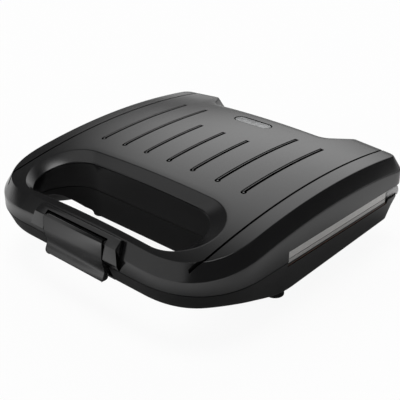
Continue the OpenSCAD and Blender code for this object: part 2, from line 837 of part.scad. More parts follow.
module upper_plate_screws() {
    color("#8f9092")
    for (p = plate_spots)
        translate([p[0], p[1], upper_frame_z - 2.2]) screw(2.2 + frame_t);
}

module upper_shield_screws() {
    color("#8f9092")
    for (s = [-1, 1])
        translate([s * shield_x, plate_y, plate_z + shield_rise + shield_t])
            mirror([0, 0, 1]) screw(shield_t + 4);
}

module lamp_board_screws() {
    color("#8f9092")
    for (s = [-1, 1]) translate([s * board_post_x, indicator_y, board_z]) screw(board_t + 5);
}

// ---------------------------------------------------------------- base

module base_shell() {
    low = outline(base_half, -base_inset, -handle_inset);
    foot = outline(base_half, -base_inset - 1.5, -handle_inset - 0.8);
    hole = outline(hole_half);
    low_hole = outline(low_hole_half);
    inner_hole = outline(low_hole_half, wall);
    ring_body(concat(
        [ring_at(outline(base_half, -wall), base_joint_z), ring_under(base_floor, wall + 1)],
        [for (i = [0:n_morph]) ring_under(between(base_floor, inner_hole, i / n_morph), wall)],
        [ring_at(outline(hole_half, wall), base_joint_z), ring_at(hole, base_joint_z),
         ring_under(low_hole, 0)],
        [for (i = [n_morph - 1:-1:0]) ring_under(between(foot, low_hole, i / n_morph), 0)],
        [ring_under(low, 1.2), ring_at(outline(base_half), base_joint_z)]));
}

// What lies inside an outer wall of the base that leans in below the joint
module leaning_side(at, foot_z) {
    polygon([[0, foot_z], [at - base_inset, foot_z], [at, base_joint_z], [at, far], [0, far]]);
}

// Knuckles that carry the hinge pins
module base_knuckles() {
    foot_z = under_z(hinge_y) + 1;
    skin = 1; // depth of the knuckles behind the base's outer face
    both_sides() {
        intersection() {
            union() {
                translate([0, hinge_y, hinge_z]) rod_x(knuckle_x, knuckle_out, 2 * knuckle_r);
                box([knuckle_x, hinge_y - knuckle_r, foot_z], [knuckle_out, base_rear_y, hinge_z]);
                box([knuckle_x, knuckle_front, base_edge_z],
                    [knuckle_out, hinge_y, hinge_z + knuckle_r]);
            }
            linear_extrude(far) plan(base_half, -skin);
            rotate([90, 0, 0])
                linear_extrude(2 * far, center = true) leaning_side(half_w - skin, foot_z);
            rotate([90, 0, 90])
                linear_extrude(2 * far, center = true) leaning_side(base_rear_y - skin, foot_z);
        }
        translate([rib_x, hinge_y, hinge_z]) rod_x(-rib_w / 2, rib_w / 2, 2 * arm_r);
        intersection() {
            box([rib_x - rib_w / 2, hinge_y - arm_r, foot_z],
                [rib_x + rib_w / 2, hinge_y + arm_r - 2, hinge_z]);
            rotate([90, 0, 90])
                linear_extrude(2 * far, center = true) leaning_side(base_rear_y - skin, foot_z - skin);
        }
    }
}

module lower_cover() {
    pedestal_h = block_z - under_z(block_y) - 1;
    color("#2b2b2d")
    difference() {
        union() {
            difference() {
                base_shell();
                box([-far, window_front, base_edge_z], [far, window_rear, far]);
                box([-knuckle_x, window_rear, base_edge_z], [knuckle_x, far, far]);
                box([-pocket_w / 2, -far, 0], [pocket_w / 2, pocket_back, far]);
                both_sides()
                    box([rib_x - rib_w / 2 - knuckle_gap, hinge_y, notch_z], [knuckle_x, far, far]);
            }
            base_knuckles();
            for (p = foot_spots)
                translate([p[0], p[1], pad_t]) cylinder(h = under_z(p[1]) + wall + 1.5 - pad_t, d = foot_d);
            for (p = cover_spots)
                translate([p[0], p[1], under_z(p[1]) + 1])
                    cylinder(h = lower_frame_z - frame_t - under_z(p[1]) - 1, d = boss_d);
            for (p = liner_spots) {
                foot_z = under_z(p[1]) + (p[1] < hole_front ? wall + 0.8 : wall / 2);
                translate([p[0], p[1], foot_z])
                    cylinder(h = base_joint_z - liner_fit - liner_t - foot_z, d = liner_boss_d);
            }
            translate([bush_x, 0, bush_z]) rod_y(bush_face - bush_pad_t, bush_face, bush_pad_d);
            box([block_x - 16, block_y - 5, under_z(block_y) + 1], [block_x + 16, block_y + 5, block_z]);
            latch_catch();
        }
        for (p = foot_spots)
            translate([p[0], p[1], pad_t - 1]) cylinder(h = 6, d = foot_d / 2);
        translate([0, hinge_y, hinge_z]) rod_x(pin_from - 0.5, pin_to + 0.5, hinge_pin_d + 2 * pin_fit);
        translate([0, hinge_y, hinge_z]) rod_x(-pin_to - 0.5, -pin_from + 0.5, hinge_pin_d + 2 * pin_fit);
        for (p = cover_spots)
            translate([p[0], p[1], lower_frame_z - frame_t - 8]) cylinder(h = 9, d = screw_d);
        for (p = liner_spots)
            translate([p[0], p[1], base_joint_z - liner_fit - liner_t - 6]) cylinder(h = 7, d = screw_d);
        translate([bush_x, 0, bush_z]) rod_y(bush_face - 2 * bush_pad_t, far, bush_d + 2 * pin_fit);
        for (s = [-1, 1])
            translate([block_x + s * block_screw_x, block_y, block_z - pedestal_h + 1])
                cylinder(h = pedestal_h, d = screw_d);
    }
}

// Pocket behind the latch in the base half of the handle, with the ledge that the hook holds
module latch_catch() {
    box([-pocket_w / 2 - 1.5, pocket_back, under_z(front_y) + 1],
        [pocket_w / 2 + 1.5, pocket_back + 2, base_joint_z - liner_fit - liner_t]);
    box([-catch_w / 2, pocket_back - 2.7, catch_z], [catch_w / 2, pocket_back + 0.5, catch_z + catch_t]);
}

module lower_inner_frame() {
    lip_front = window_front + 0.7;
    lip_back = window_rear - 0.7;
    lip_x = plate_lip_w / 2 - 0.2;
    bottom_z = lower_frame_z - frame_t;
    color("#4a3626")
    difference() {
        union() {
            translate([0, 0, bottom_z])
                linear_extrude(frame_t) frame_plan(base_inside(bottom_z), base_opening(bottom_z));
            both_sides()
                box([half_w - 3 * wall, lip_front, base_edge_z + 0.2], [lip_x, lip_back, lower_frame_z]);
        }
        both_sides()
            box([rib_x - rib_w / 2 - knuckle_gap, knuckle_front - knuckle_gap, 0], [far, far, far]);
        for (p = plate_spots)
            translate([p[0], p[1], bottom_z - 1]) cylinder(h = frame_t + 2, d = screw_d);
    }
}

module lower_handle_liner() {
    bottom_z = base_joint_z - liner_fit - liner_t;
    color("#242426")
    translate([0, 0, bottom_z])
        linear_extrude(liner_t) liner_plan(base_inside(bottom_z), base_opening(bottom_z));
}

// Turns what is drawn above the meeting plane into its twin in the base
module below() {
    translate([0, 0, plate_z]) mirror([0, 0, 1]) children();
}

// The lower plate also carries the thermostat and the thermal fuse, on pads
module lower_plate() {
    color("#9a9a9c")
    below()
        difference() {
            union() {
                plate(rim_t, rim_t);
                translate([sensor_x, sensor_y, plate_back - 1])
                    linear_extrude(sensor_pad + 1) square([12, 2 * stat_hole_y + 8], center = true);
                box([-sensor_x - 5, sensor_y - 4, plate_back - 1],
                    [-sensor_x + 5, sensor_y + clip_hole_y + 4, plate_back + sensor_pad]);
            }
            for (p = sensor_spots)
                translate([p[0], p[1], plate_back + sensor_pad - 3]) cylinder(h = 4, d = screw_d);
        }
}

module lower_heater() {
    color("#6b6a68") below() heater();
}

module lower_heat_shield() {
    color("#b4b4b2") below() heat_shield();
}

// Bimetal thermostat under the right-hand well
module thermostat() {
    ear_l = stat_hole_y + 4;
    color("#cfc9bd")
    below()
        translate([sensor_x, sensor_y, plate_back + sensor_pad]) {
            cylinder(h = stat_h, d = stat_d);
            difference() {
                box([-5, -ear_l, 0], [5, ear_l, clip_t]);
                for (s = [-1, 1])
                    translate([0, s * stat_hole_y, -1]) cylinder(h = 3, d = screw_d + 2 * screw_fit);
            }
            for (s = [-1, 1])
                box([s * 5 - 2, -9, stat_h - 1], [s * 5 + 2, -8, stat_h + 2]);
        }
}

// Screws of the thermostat and of the fuse's clip
module sensor_screws() {
    color("#8f9092")
    below()
        for (p = sensor_spots)
            translate([p[0], p[1], plate_back + sensor_pad + clip_t]) {
                translate([0, 0, -2.5]) cylinder(h = 2.5, d = screw_d - 2 * screw_fit);
                cylinder(h = 1.4, d = screw_head_d - 1);
            }
}

module thermal_fuse() {
    color("#d8d2c4")
    below()
        translate([-sensor_x, sensor_y, plate_back + sensor_pad + fuse_r + 0.1]) {
            rod_x(-7, 7, 2 * fuse_r);
            rod_x(-14, 14, 1);
        }
}

// Strap that holds the thermal fuse against the plate
module fuse_clip() {
    wrap = fuse_r + 0.2;
    color("#b4b4b2")
    below()
        translate([-sensor_x, sensor_y, plate_back + sensor_pad])
            difference() {
                union() {
                    translate([0, 0, fuse_r + 0.1]) rod_x(-4, 4, 2 * (wrap + clip_t));
                    box([-4, 0, 0], [4, clip_hole_y + 3.5, clip_t]);
                    box([-4, -wrap - clip_t, 0], [4, wrap + clip_t, fuse_r]);
                }
                translate([0, 0, fuse_r + 0.1]) rod_x(-5, 5, 2 * wrap);
                box([-5, -wrap, -2], [5, wrap, fuse_r]);
                box([-5, -far, -far], [5, far, 0]);
                translate([0, clip_hole_y, -1]) cylinder(h = 3, d = screw_d + 2 * screw_fit);
            }
}

module terminal_block() {
    color("#d9d4c8")
    difference() {
        translate([block_x, block_y, block_z]) {
            box([-17, -5, 0], [17, 5, 3]);
            box([-9, -5, 0], [9, 5, 9]);
        }
        for (s = [-1, 1])
            translate([block_x + s * block_screw_x, block_y, block_z - 1])
                cylinder(h = 5, d = screw_d + 2 * screw_fit);
        for (i = [-1:1]) {
            translate([block_x + i * 5.6, 0, block_z + 4.5]) rod_y(-far, far, 2.6);
            translate([block_x + i * 5.6, block_y, block_z + 4.5]) cylinder(h = 9, d = 2.6);
        }
    }
}

module terminal_screws() {
    color("#8f9092")
    for (s = [-1, 1])
        translate([block_x + s * block_screw_x, block_y, block_z + 3]) mirror([0, 0, 1]) screw(5);
}

// Bush that the cord passes through
module cord_bush() {
    back = bush_face - bush_pad_t;
    flange_t = 2;
    color("#1a1a1b")
    translate([bush_x, 0, bush_z])
        difference() {
            union() {
                rod_y(back - flange_t, bush_face + flange_t, bush_d);
                rod_y(bush_face, bush_face + flange_t, bush_d + 5);
                rod_y(back - flange_t, back, bush_d + 2.5);
            }
            rod_y(-far, far, bush_bore_d);
        }
}

module foot_pads() {
    color("#141415")
    for (p = foot_spots)
        translate([p[0], p[1], 0]) {
            cylinder(h = pad_t, d = foot_d);
            cylinder(h = pad_t + 4, d = foot_d / 2 - 2 * pin_fit);
        }
}

module hinge_pins() {
    color("#8f9092")
    both_sides()
        translate([0, hinge_y, hinge_z]) rod_x(pin_from, pin_to, hinge_pin_d);
}

module lower_cover_screws() {
    color("#8f9092")
    for (p = cover_spots) translate([p[0], p[1], lower_frame_z]) mirror([0, 0, 1]) screw(frame_t + 6);
}

module lower_handle_screws() {
    color("#8f9092")
    for (p = liner_spots)
        translate([p[0], p[1], base_joint_z - liner_fit]) mirror([0, 0, 1]) shallow_screw(liner_t + 5);
}

module lower_plate_screws() {
    color("#8f9092")
    for (p = plate_spots)
        translate([p[0], p[1], lower_frame_z + 2.2]) mirror([0, 0, 1]) screw(2.2 + frame_t);
}

module lower_shield_screws() {
    color("#8f9092")
    below()
        for (s = [-1, 1])
            translate([s * shield_x, plate_y, shield_rise + shield_t]) mirror([0, 0, 1]) screw(shield_t + 4);
}

upper_cover();
upper_inner_frame();
upper_handle_liner();
upper_plate();
upper_heater();
upper_heat_shield();
indicator_lens();
lamp_board();
red_lamp();
green_lamp();
latch();
latch_pin();
upper_cover_screws();
upper_handle_screws();
upper_plate_screws();
upper_shield_screws();
lamp_board_screws();
lower_cover();
lower_inner_frame();
lower_handle_liner();
lower_plate();
lower_heater();
lower_heat_shield();
thermostat();
sensor_screws();
thermal_fuse();
fuse_clip();
terminal_block();
terminal_screws();
cord_bush();
foot_pads();
hinge_pins();
lower_cover_screws();
lower_handle_screws();
lower_plate_screws();
lower_shield_screws();
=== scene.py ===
import math

import bmesh
import bpy
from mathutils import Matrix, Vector
from mathutils.bvhtree import BVHTree


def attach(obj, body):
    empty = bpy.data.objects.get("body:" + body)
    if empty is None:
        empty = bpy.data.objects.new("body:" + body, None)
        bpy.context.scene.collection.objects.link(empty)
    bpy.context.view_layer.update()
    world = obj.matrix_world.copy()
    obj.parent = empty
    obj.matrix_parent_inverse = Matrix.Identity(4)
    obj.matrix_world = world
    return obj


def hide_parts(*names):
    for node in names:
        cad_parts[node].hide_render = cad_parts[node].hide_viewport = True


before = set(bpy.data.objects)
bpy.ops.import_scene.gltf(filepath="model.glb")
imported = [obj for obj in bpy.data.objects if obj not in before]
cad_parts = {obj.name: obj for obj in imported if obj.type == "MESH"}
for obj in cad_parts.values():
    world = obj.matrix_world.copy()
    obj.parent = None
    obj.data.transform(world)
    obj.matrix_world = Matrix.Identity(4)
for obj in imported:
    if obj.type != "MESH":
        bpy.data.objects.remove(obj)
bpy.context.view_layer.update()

MM = 0.001

# ------------------------------------------------------------------ sizes, in millimetres
# Body: half its width, front and rear of the lid, rear of the base, and the joint between lid and base.
# Its front corners stand out from a plain arc by CORNER_BULGE.
HALF_W, FRONT, REAR, BASE_REAR = 115.0, -113.5, 118.5, 114.5
LID_JOINT, BASE_JOINT = 42.7, 42.3
FRONT_R, REAR_R, CORNER_BULGE = 56.0, 12.0, 2.5
WALL = 2.5

# Lid: crowned top, bevel along its edge, and the recess in its rear between two ears
TOP, CROWN_Y, CROWN_SPAN = 82.5, 32.5, 139.4
CROWN_FALL, SIDE_FALL = 18.0, 6.1
BEVEL_W, BEVEL_H = 6.6, 10.6
RECESS_MOUTH, RECESS_FLOOR, RECESS_DEPTH, RECESS_R = 135.0, 106.0, 22.5, 6.0
EAR_R = BEVEL_W + 1.8

# Handle opening: the hole through lid and base, and the lip that narrows it at the top
HOLE_L, HOLE_W, HOLE_Y = 175.4, 59.2, -72.5
LIP_L, LIP_W, LIP_Y = 155.0, 50.9, -76.35
LIP_DROP, LIP_EDGE, LIP_ROOT = 4.5, 2.0, 8.0
HOLE_DRAFT = 4.5

# Underside of the base, which rises under the handle
UNDER, UNDER_SLOPE = 13.5, 0.045
RISE_START, RISE_SPAN, RISE = -18.0, 75.0, 16.5
# Rise of the underside at the ends of the handle opening, by the angle around the end
END_LIFT = (
    (-90, 0.5), (-60, 3), (-30, 8), (0, 12), (15, 13.5), (30, 12.6), (45, 8.8), (60, 4.8), (71, 3.4), (75, 0),
    (90, 0),
)
# The base's walls lean in by LEAN from the joint down to LEAN_FOOT, less at the front, and end in a chamfer
LEAN, LEAN_FRONT, LEAN_FOOT = 6.0, 4.5, 20.3
CHAMFER, CHAMFER_FRONT, CHAMFER_H = 7.5, 5.3, 1.2

# Side openings for the plates, and the latch's pocket in the front
SLOT_FRONT, SLOT_REAR = -30.0, 94.5
LID_EDGE, BASE_EDGE = 50.5, 38.6
POCKET_W, POCKET_BACK, POCKET_TOP = 61.3, -109.5, 62.3

# Grooves: the three in the middle are short; each is a shallow step with a deep slot and a dimple
GROOVE_PITCH, GROOVE_FRONT = 23.4, -23.0
SHORT_GROOVE, LONG_GROOVE = 38.0, 69.0
STEP_W, STEP_D, STEP_SHIFT = 3.5, 0.4, -0.45
SLOT_W, SLOT_D, SLOT_SHIFT, SLOT_SHORT = 2.6, 2.1, 0.2, 0.15
DIMPLE_R, DIMPLE_D, DIMPLE_SHIFT = 2.2, 1.6, 0.1
DIMPLE_Y, PIN_Y = -23.9, -24.0

# Seams between the lid's middle and its side panels: straight, then turning in at the front. Where a seam
# passes onto the rear bevel, in SEAM_LEVEL, its floor is kept from rising.
SEAM_X, SEAM_W, SEAM_D = 96.06, 1.6, 2.1
SEAM_REAR, SEAM_TURN, SEAM_LEVEL = 119.0, -91.0, (108.0, 112.0)
SEAM_BEND, SEAM_END = (SEAM_X, -92.2), (91.4, -101.4)

# Indicator window
LENS_L, LENS_W, LENS_Y, LENS_FLOOR = 36.0, 12.0, 72.5, 74.0

# Latch: its pivot, half its width and the levels of its ends; its section as (y, z), face then back
LATCH_Y, LATCH_Z = -112.5, 58.5
LATCH_HALF, LATCH_TOP, LATCH_FOOT = 29.75, 61.3, 30.9
LATCH_TOP_R, LATCH_FOOT_R = 2.4, 3.6
LATCH_FACE = (
    (-113.9, 61.4), (-116.0, 61.1), (-117.15, 59.8), (-117.9, 51.0), (-117.8, 48.5), (-117.2, 45.2),
    (-116.4, 42.2), (-116.0, 40.0), (-116.15, 38.2), (-116.9, 36.6), (-117.6, 35.0), (-118.0, 33.4),
    (-117.9, 31.8), (-117.1, 30.9),
)
LATCH_BACK = (
    (-115.4, 31.0), (-114.0, 32.6), (-113.3, 36.0), (-113.0, 39.8), (-113.8, 43.6), (-114.9, 48.0),
    (-115.2, 50.8), (-114.9, 54.0), (-112.0, 55.8), (-110.2, 57.2), (-110.1, 60.2),
)

# Latch barrel, and the hook behind the latch as a box (x, x, y, y, z, z)
BARREL_R, BARREL_HALF = 2.6, 29.5
HOOK = (-18, 18, -114.4, -110.2, 33.2, 35.7)
# In the base: the wall behind the latch, and the ledge that the hook catches
CATCH_WALL = (-32.1, 32.1, POCKET_BACK, POCKET_BACK + 2, 31, 39.6)
CATCH_LEDGE = (-20, 20, POCKET_BACK - 2.7, POCKET_BACK + 0.5, 36, 38.5)

# Latch housing: its corners as (y, z, half width), from the ridge's back over the face to its foot
HOUSING = (
    (-106.5, 62.3, 40.2), (-110.1, 64.7, 40.9), (-115.7, 60.0, 41.0), (-118.1, 49.8, 44.2),
    (-113.45, 42.7, 43.2), (-109.5, 42.7, 43.2),
)
# Wedge that undercuts each end of the housing's face towards the lid's wall, as (x, y, z)
UNDERCUT = (
    (41.05, -115.75, 60), (44.25, -118.3, 49.8), (39.6, -113.3, 53.9), (62, -119, 60), (62, -119, 40),
    (62, -113.3, 53.9), (41.5, -113.3, 40), (62, -113.3, 40), (45, -118.3, 40),
)
# Fine line along the housing behind its front edge, as (y, z), cut past both its ends
HOUSING_LINE = ((-108.9, 62.9), (-108.8, 67), (-109.5, 67), (-109.4, 63.1))
HOUSING_REACH = 60.0
# Room that the housing's pocket leaves over the lid's for the swinging latch
LATCH_SWING = 0.5

# Hinge: its axis, the knuckles that carry its pins, the posts under them and the ribs between them
HINGE_Y, HINGE_Z = 107.5, 42.5
KNUCKLE_IN, KNUCKLE_OUT, KNUCKLE_R = 96.0, 113.0, 7.0
KNUCKLE_FRONT, KNUCKLE_FOOT, KNUCKLE_TOP, KNUCKLE_TOP_R = 96.2, 38.9, 49.5, 2.2
POST_FRONT, POST_LEVELS, POST_GAP, POST_CHAMFER = 100.5, (20.6, 30.0, 39.5), 1.2, 3.0
RIB_IN, RIB_OUT, RIB_R, RIB_FRONT, RIB_REAR = 79.0, 86.0, 6.0, 101.5, 111.4
RIB_FOOT, RIB_BEND, RIB_TOP = 20.5, 34.7, 42.4

# Room in the base for the lid's hinge arms, inside the knuckles
ARM_IN, ARM_FLOOR = 78.5, 33.0

# Feet, and the pad of the cord's bush
FEET, FOOT_R = ((91.5, -12.5), (80.0, 92.0)), 7.0
BUSH_X, BUSH_Z, BUSH_R, BUSH_FRONT, BUSH_REAR = -25.0, 29.3, 7.2, 104.5, 114.2

# How far cutters reach: past the sides, under the lid, over the base and over the lid
BEYOND, UNDER_LID, OVER_BASE, OVER_LID = 130.0, 30.0, 60.0, 90.0

# Soft lights of the studio: azimuth (0 = +X, 90 = +Y), elevation, outer and inner angle, strength.
# The last one is a pale horizon that fades out between 3.6 and 6.5 degrees over it.
SOFT_LIGHTS = (
    (122, 33, 28, 6, 1.95),
    (-106, 22, 36, 24, 1.0),
    (-150, 55, 28, 14, 0.85),
    (0, 90, 17, 10, 7.0),
    (0, -90, 96.5, 93.6, 0.93),
)
FILL = 0.1

# Floor, in metres. FLOOR_WHITE is the share of its own glow; the rest takes the toaster's shadow. The camera
# sees the glow even and white. Reflections see a painted shadow around a square under the body, painted
# light before the toaster and painted shade far behind it.
FLOOR_WHITE = 0.93
NEAR_PAINTED_SHADOW, FLOOR_GLOW, FRONT_PAINTED_LIGHT, BACK_PAINTED_SHADE = 0.12, 0.95, 1.6, 0.05
UNDER_BODY, NEAR_FLOOR, FAR_FLOOR = 0.075, 0.055, 0.125
FRONT_RANGE, BACK_RANGE = (-0.22, -0.05), (0.35, 0.8)
FLOOR_REACH = 6

# Camera, the point it looks at, and its focal length for a 36 mm sensor
CAMERA, TARGET, FOCAL_LENGTH = (392.3, -421.7, 330.2), (-29.72, 42.05, 12.4), 75.76

# Samples along the outlines, and steps across the top, the roof and the floor
N_FRONT, N_CORNER, N_SIDE, N_REAR, N_EAR, N_BACK = 10, 26, 30, 8, 6, 10
N_FAR = N_SIDE + N_REAR + 1
N_TAIL = 2 * (N_EAR + 1) + N_BACK
TOP_STEPS, ROOF_STEPS, UNDER_STEPS, FLOOR_STEPS = 22, 6, 12, 8


def mix(a, b, t):
    return a + (b - a) * t


def between(p, q, t):
    return mix(p[0], q[0], t), mix(p[1], q[1], t)


def top_z(x, y):
    """Height of the lid's crowned top."""
    return TOP - CROWN_FALL * ((y - CROWN_Y) / CROWN_SPAN) ** 2 - SIDE_FALL * (x / HALF_W) ** 2


def under_z(y):
    """Height of the base's underside."""
    t = min(1, max(0, (RISE_START - y) / RISE_SPAN))
    return UNDER + UNDER_SLOPE * max(0, y - RISE_START) + RISE * t * t * (3 - 2 * t)


def lean(z):
    """How far the base's walls lean in at a level under the joint."""
    return LEAN * (BASE_JOINT - z) / (BASE_JOINT - LEAN_FOOT)


# ------------------------------------------------------------------ outlines
# An outline is a list of (x, y, nx, ny), points with their outward directions. All half outlines run from
# the middle of the front to the middle of the rear in as many points, so columns can join them.
def arc(cx, cy, r, a0, a1, n, side=1):
    """An arc between two angles; with side -1 its directions point to its centre."""
    out = []
    for i in range(n + 1):
        a = math.radians(mix(a0, a1, i / n))
        out.append((cx + r * math.cos(a), cy + r * math.sin(a), side * math.cos(a), side * math.sin(a)))
    return out


def front_half(x, y):
    """Samples from the middle of a front edge towards its end at x."""
    return [(x * (i + 0.5) / N_FRONT, y, 0, -1) for i in range(N_FRONT)]


def rear_half(x, y, n):
    """Samples from the end of a rear edge at x towards its middle."""
    return [(x * (1 - (i + 0.5) / n), y, 0, 1) for i in range(n)]


def body_half(rear):
    """Front, bulged front corner, side and rear corner of the body."""
    y0, y1 = FRONT + FRONT_R, rear - REAR_R
    corner = []
    for x, y, nx, ny in arc(HALF_W - FRONT_R, y0, FRONT_R, -90, 0, N_CORNER):
        d = CORNER_BULGE * (2 * nx * ny) ** 2
        corner.append((x + d * nx, y + d * ny, nx, ny))
    return (
        front_half(HALF_W - FRONT_R, FRONT)
        + corner
        + [(HALF_W, mix(y0, y1, i / (N_SIDE + 1)), 1, 0) for i in range(1, N_SIDE + 1)]
        + arc(HALF_W - REAR_R, y1, REAR_R, 0, 90, N_REAR)
    )


def lid_half():
    """The body, an ear behind its rear corner, and half of the recess between the ears."""
    turn = math.degrees(math.atan2(RECESS_DEPTH, (RECESS_MOUTH - RECESS_FLOOR) / 2))
    nx, ny = math.cos(math.radians(90 + turn)), math.sin(math.radians(90 + turn))
    ear_x = RECESS_MOUTH / 2 + EAR_R * (ny - 1) / nx
    floor_x = RECESS_FLOOR / 2 + RECESS_R * (1 - ny) / nx
    floor_y = REAR - RECESS_DEPTH
    return (
        body_half(REAR)
        + arc(ear_x, REAR - EAR_R, EAR_R, 90, 90 + turn, N_EAR)
        + arc(floor_x, floor_y + RECESS_R, RECESS_R, 270 + turn, 270, N_EAR, -1)
        + rear_half(floor_x, floor_y, N_BACK)
    )


def base_half():
    """The body with a straight rear."""
    return body_half(BASE_REAR) + rear_half(HALF_W - REAR_R, BASE_REAR, N_TAIL)


def stadium(length, width, y):
    """A half outline with round ends, for the handle opening."""
    r, x = width / 2, (length - width) / 2
    out = front_half(x, y - r) + arc(x, y, r, -90, 0, N_CORNER)
    out += arc(x, y, r, 0, 90, N_FAR)[1:]
    return out + rear_half(x, y + r, N_TAIL)


def whole(half):
    """A half outline and its mirror image."""
    return half + [(-x, y, -nx, ny) for x, y, nx, ny in reversed(half)]


def off(p, d, d_front=None):
    """An outline's point moved out by d, or by d_front where the outline faces the front."""
    m = d if d_front is None else mix(d, d_front, max(0, -p[3]))
    return (p[0] + m * p[2], p[1] + m * p[3])


def circle_plan(cx, cy, r, n):
    turns = [2 * math.pi * i / n for i in range(n)]
    return [(cx + r * math.cos(a), cy + r * math.sin(a)) for a in turns]


def stadium_plan(length, width, cy, n):
    r, x = width / 2, (length - width) / 2
    points = []
    for side, a0 in ((1, -90), (-1, 90)):
        for i in range(n + 1):
            a = math.radians(a0 + 180 * i / n)
            points.append((side * x + r * math.cos(a), cy + r * math.sin(a)))
    return points


# ------------------------------------------------------------------ parts, as points and faces
def loft(sections):
    """A skin over equal closed sections, capped at both ends."""
    m = len(sections[0])
    verts = [v for section in sections for v in section]
    faces = []
    for i in range(len(sections) - 1):
        for k in range(m):
            j = (k + 1) % m
            faces.append((i * m + k, i * m + j, (i + 1) * m + j, (i + 1) * m + k))
    faces.append(tuple(range(m - 1, -1, -1)))
    faces.append(tuple(range((len(sections) - 1) * m, len(sections) * m)))
    return verts, faces


def ring_mesh(columns):
    """A closed shell around an opening, from equal closed columns."""
    n, m = len(columns), len(columns[0])
    verts = [v for column in columns for v in column]
    faces = []
    for i in range(n):
        j = (i + 1) % n
        for k in range(m):
            q = (k + 1) % m
            faces.append((i * m + k, i * m + q, j * m + q, j * m + k))
    return verts, faces


def prism(plan, z0, z1):
    return loft([[(x, y, z0) for x, y in plan], [(x, y, z1) for x, y in plan]])


def box(x0, x1, y0, y1, z0, z1):
    return prism([(x0, y0), (x1, y0), (x1, y1), (x0, y1)], z0, z1)


def bar_x(section, x0, x1):
    """A bar along X with a section of (y, z)."""
    return loft([[(x, y, z) for y, z in section] for x in (x0, x1)])


def turned(x, y, rows, n):
    """A round upright body; rows are (z, radius)."""
    return loft([[(px, py, z) for px, py in circle_plan(x, y, r, n)] for z, r in rows])


def joined(parts):
    verts, faces = [], []
    for part_verts, part_faces in parts:
        faces += [tuple(i + len(verts) for i in face) for face in part_faces]
        verts += part_verts
    return verts, faces


def convex(points, bevel=0.0, sharp_angle=14):
    """Convex body through the points, with its sharp edges rounded when bevel is given."""
    bm = bmesh.new()
    for p in points:
        bm.verts.new(p)
    bmesh.ops.convex_hull(bm, input=bm.verts)
    bmesh.ops.dissolve_limit(bm, angle_limit=math.radians(2), verts=bm.verts, edges=bm.edges)
    loose = [v for v in bm.verts if not v.link_faces]
    bmesh.ops.delete(bm, geom=loose, context="VERTS")
    if bevel:
        limit = math.radians(sharp_angle)
        edges = [e for e in bm.edges if len(e.link_faces) == 2 and e.calc_face_angle() > limit]
        bmesh.ops.bevel(bm, geom=edges, offset=bevel, segments=3, affect="EDGES", profile=0.5)
    bmesh.ops.triangulate(bm, faces=bm.faces)
    bm.verts.index_update()
    verts = [tuple(v.co) for v in bm.verts]
    faces = [tuple(v.index for v in f.verts) for f in bm.faces]
    bm.free()
    return verts, faces


def rounded(points, cuts):
    """A closed profile of 3-D points, some of its corners rounded; cuts is {index: cut length}.

    A cut is limited to a little under half of the edges beside it.
    """
    out = []
    steps, limit = 3, 0.45
    for i, p in enumerate(points):
        if i not in cuts:
            out.append(p)
            continue
        v = Vector(p)
        a, b = Vector(points[i - 1]) - v, Vector(points[(i + 1) % len(points)]) - v
        c = min(cuts[i], limit * a.length, limit * b.length)
        p0, p2 = v + a.normalized() * c, v + b.normalized() * c
        for k in range(steps + 1):
            t = k / steps
            out.append(tuple(p0 * (1 - t) ** 2 + v * 2 * t * (1 - t) + p2 * t * t))
    return out


def smooth_profile(points):
    """Cuts the corners of a closed profile twice."""
    for _ in range(2):
        out = []
        for i, p in enumerate(points):
            q = points[(i + 1) % len(points)]
            out += [between(p, q, 0.25), between(p, q, 0.75)]
        points = out
    return points


def swept_slot(path, width, depth, over, heights):
    """A cutter along a plan path; its floor is depth under the surface's heights, its top over them."""
    half = width / 2
    sections = []
    for i, (x, y) in enumerate(path):
        a, b = path[max(0, i - 1)], path[min(len(path) - 1, i + 1)]
        t = Vector((b[0] - a[0], b[1] - a[1])).normalized()
        dx, dy = -t.y * half, t.x * half
        floor, roof = heights[i] - depth, heights[i] + over
        sections.append([(x + dx, y + dy, floor), (x + dx, y + dy, roof),
                         (x - dx, y - dy, roof), (x - dx, y - dy, floor)])
    return loft(sections)


# ------------------------------------------------------------------ objects
def linked(name, part):
    """An object made of a part's points, given in millimetres, and faces."""
    verts, faces = part
    mesh = bpy.data.meshes.new(name)
    mesh.from_pydata([(x * MM, y * MM, z * MM) for x, y, z in verts], [], faces)
    ob = bpy.data.objects.new(name, mesh)
    bpy.context.scene.collection.objects.link(ob)
    return ob


def tidy_normals(ob, sharp=32):
    """Merges doubled points, turns the faces outwards and shades them."""
    bm = bmesh.new()
    bm.from_mesh(ob.data)
    bmesh.ops.remove_doubles(bm, verts=bm.verts, dist=2e-6)
    bmesh.ops.dissolve_degenerate(bm, edges=bm.edges, dist=2e-6)
    bmesh.ops.recalc_face_normals(bm, faces=bm.faces)
    bm.to_mesh(ob.data)
    bm.free()
    shade(ob, sharp)


def shade(ob, sharp):
    """Smooth shading that breaks at edges sharper than an angle in degrees."""
    ob.data.polygons.foreach_set("use_smooth", [True] * len(ob.data.polygons))
    ob.data.set_sharp_from_angle(angle=math.radians(sharp))


def new_object(name, part, body, material, sharp=32):
    """A piece of the toaster that rides on a body."""
    ob = linked(name, part)
    tidy_normals(ob, sharp)
    ob.data.materials.append(material)
    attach(ob, body)
    return ob


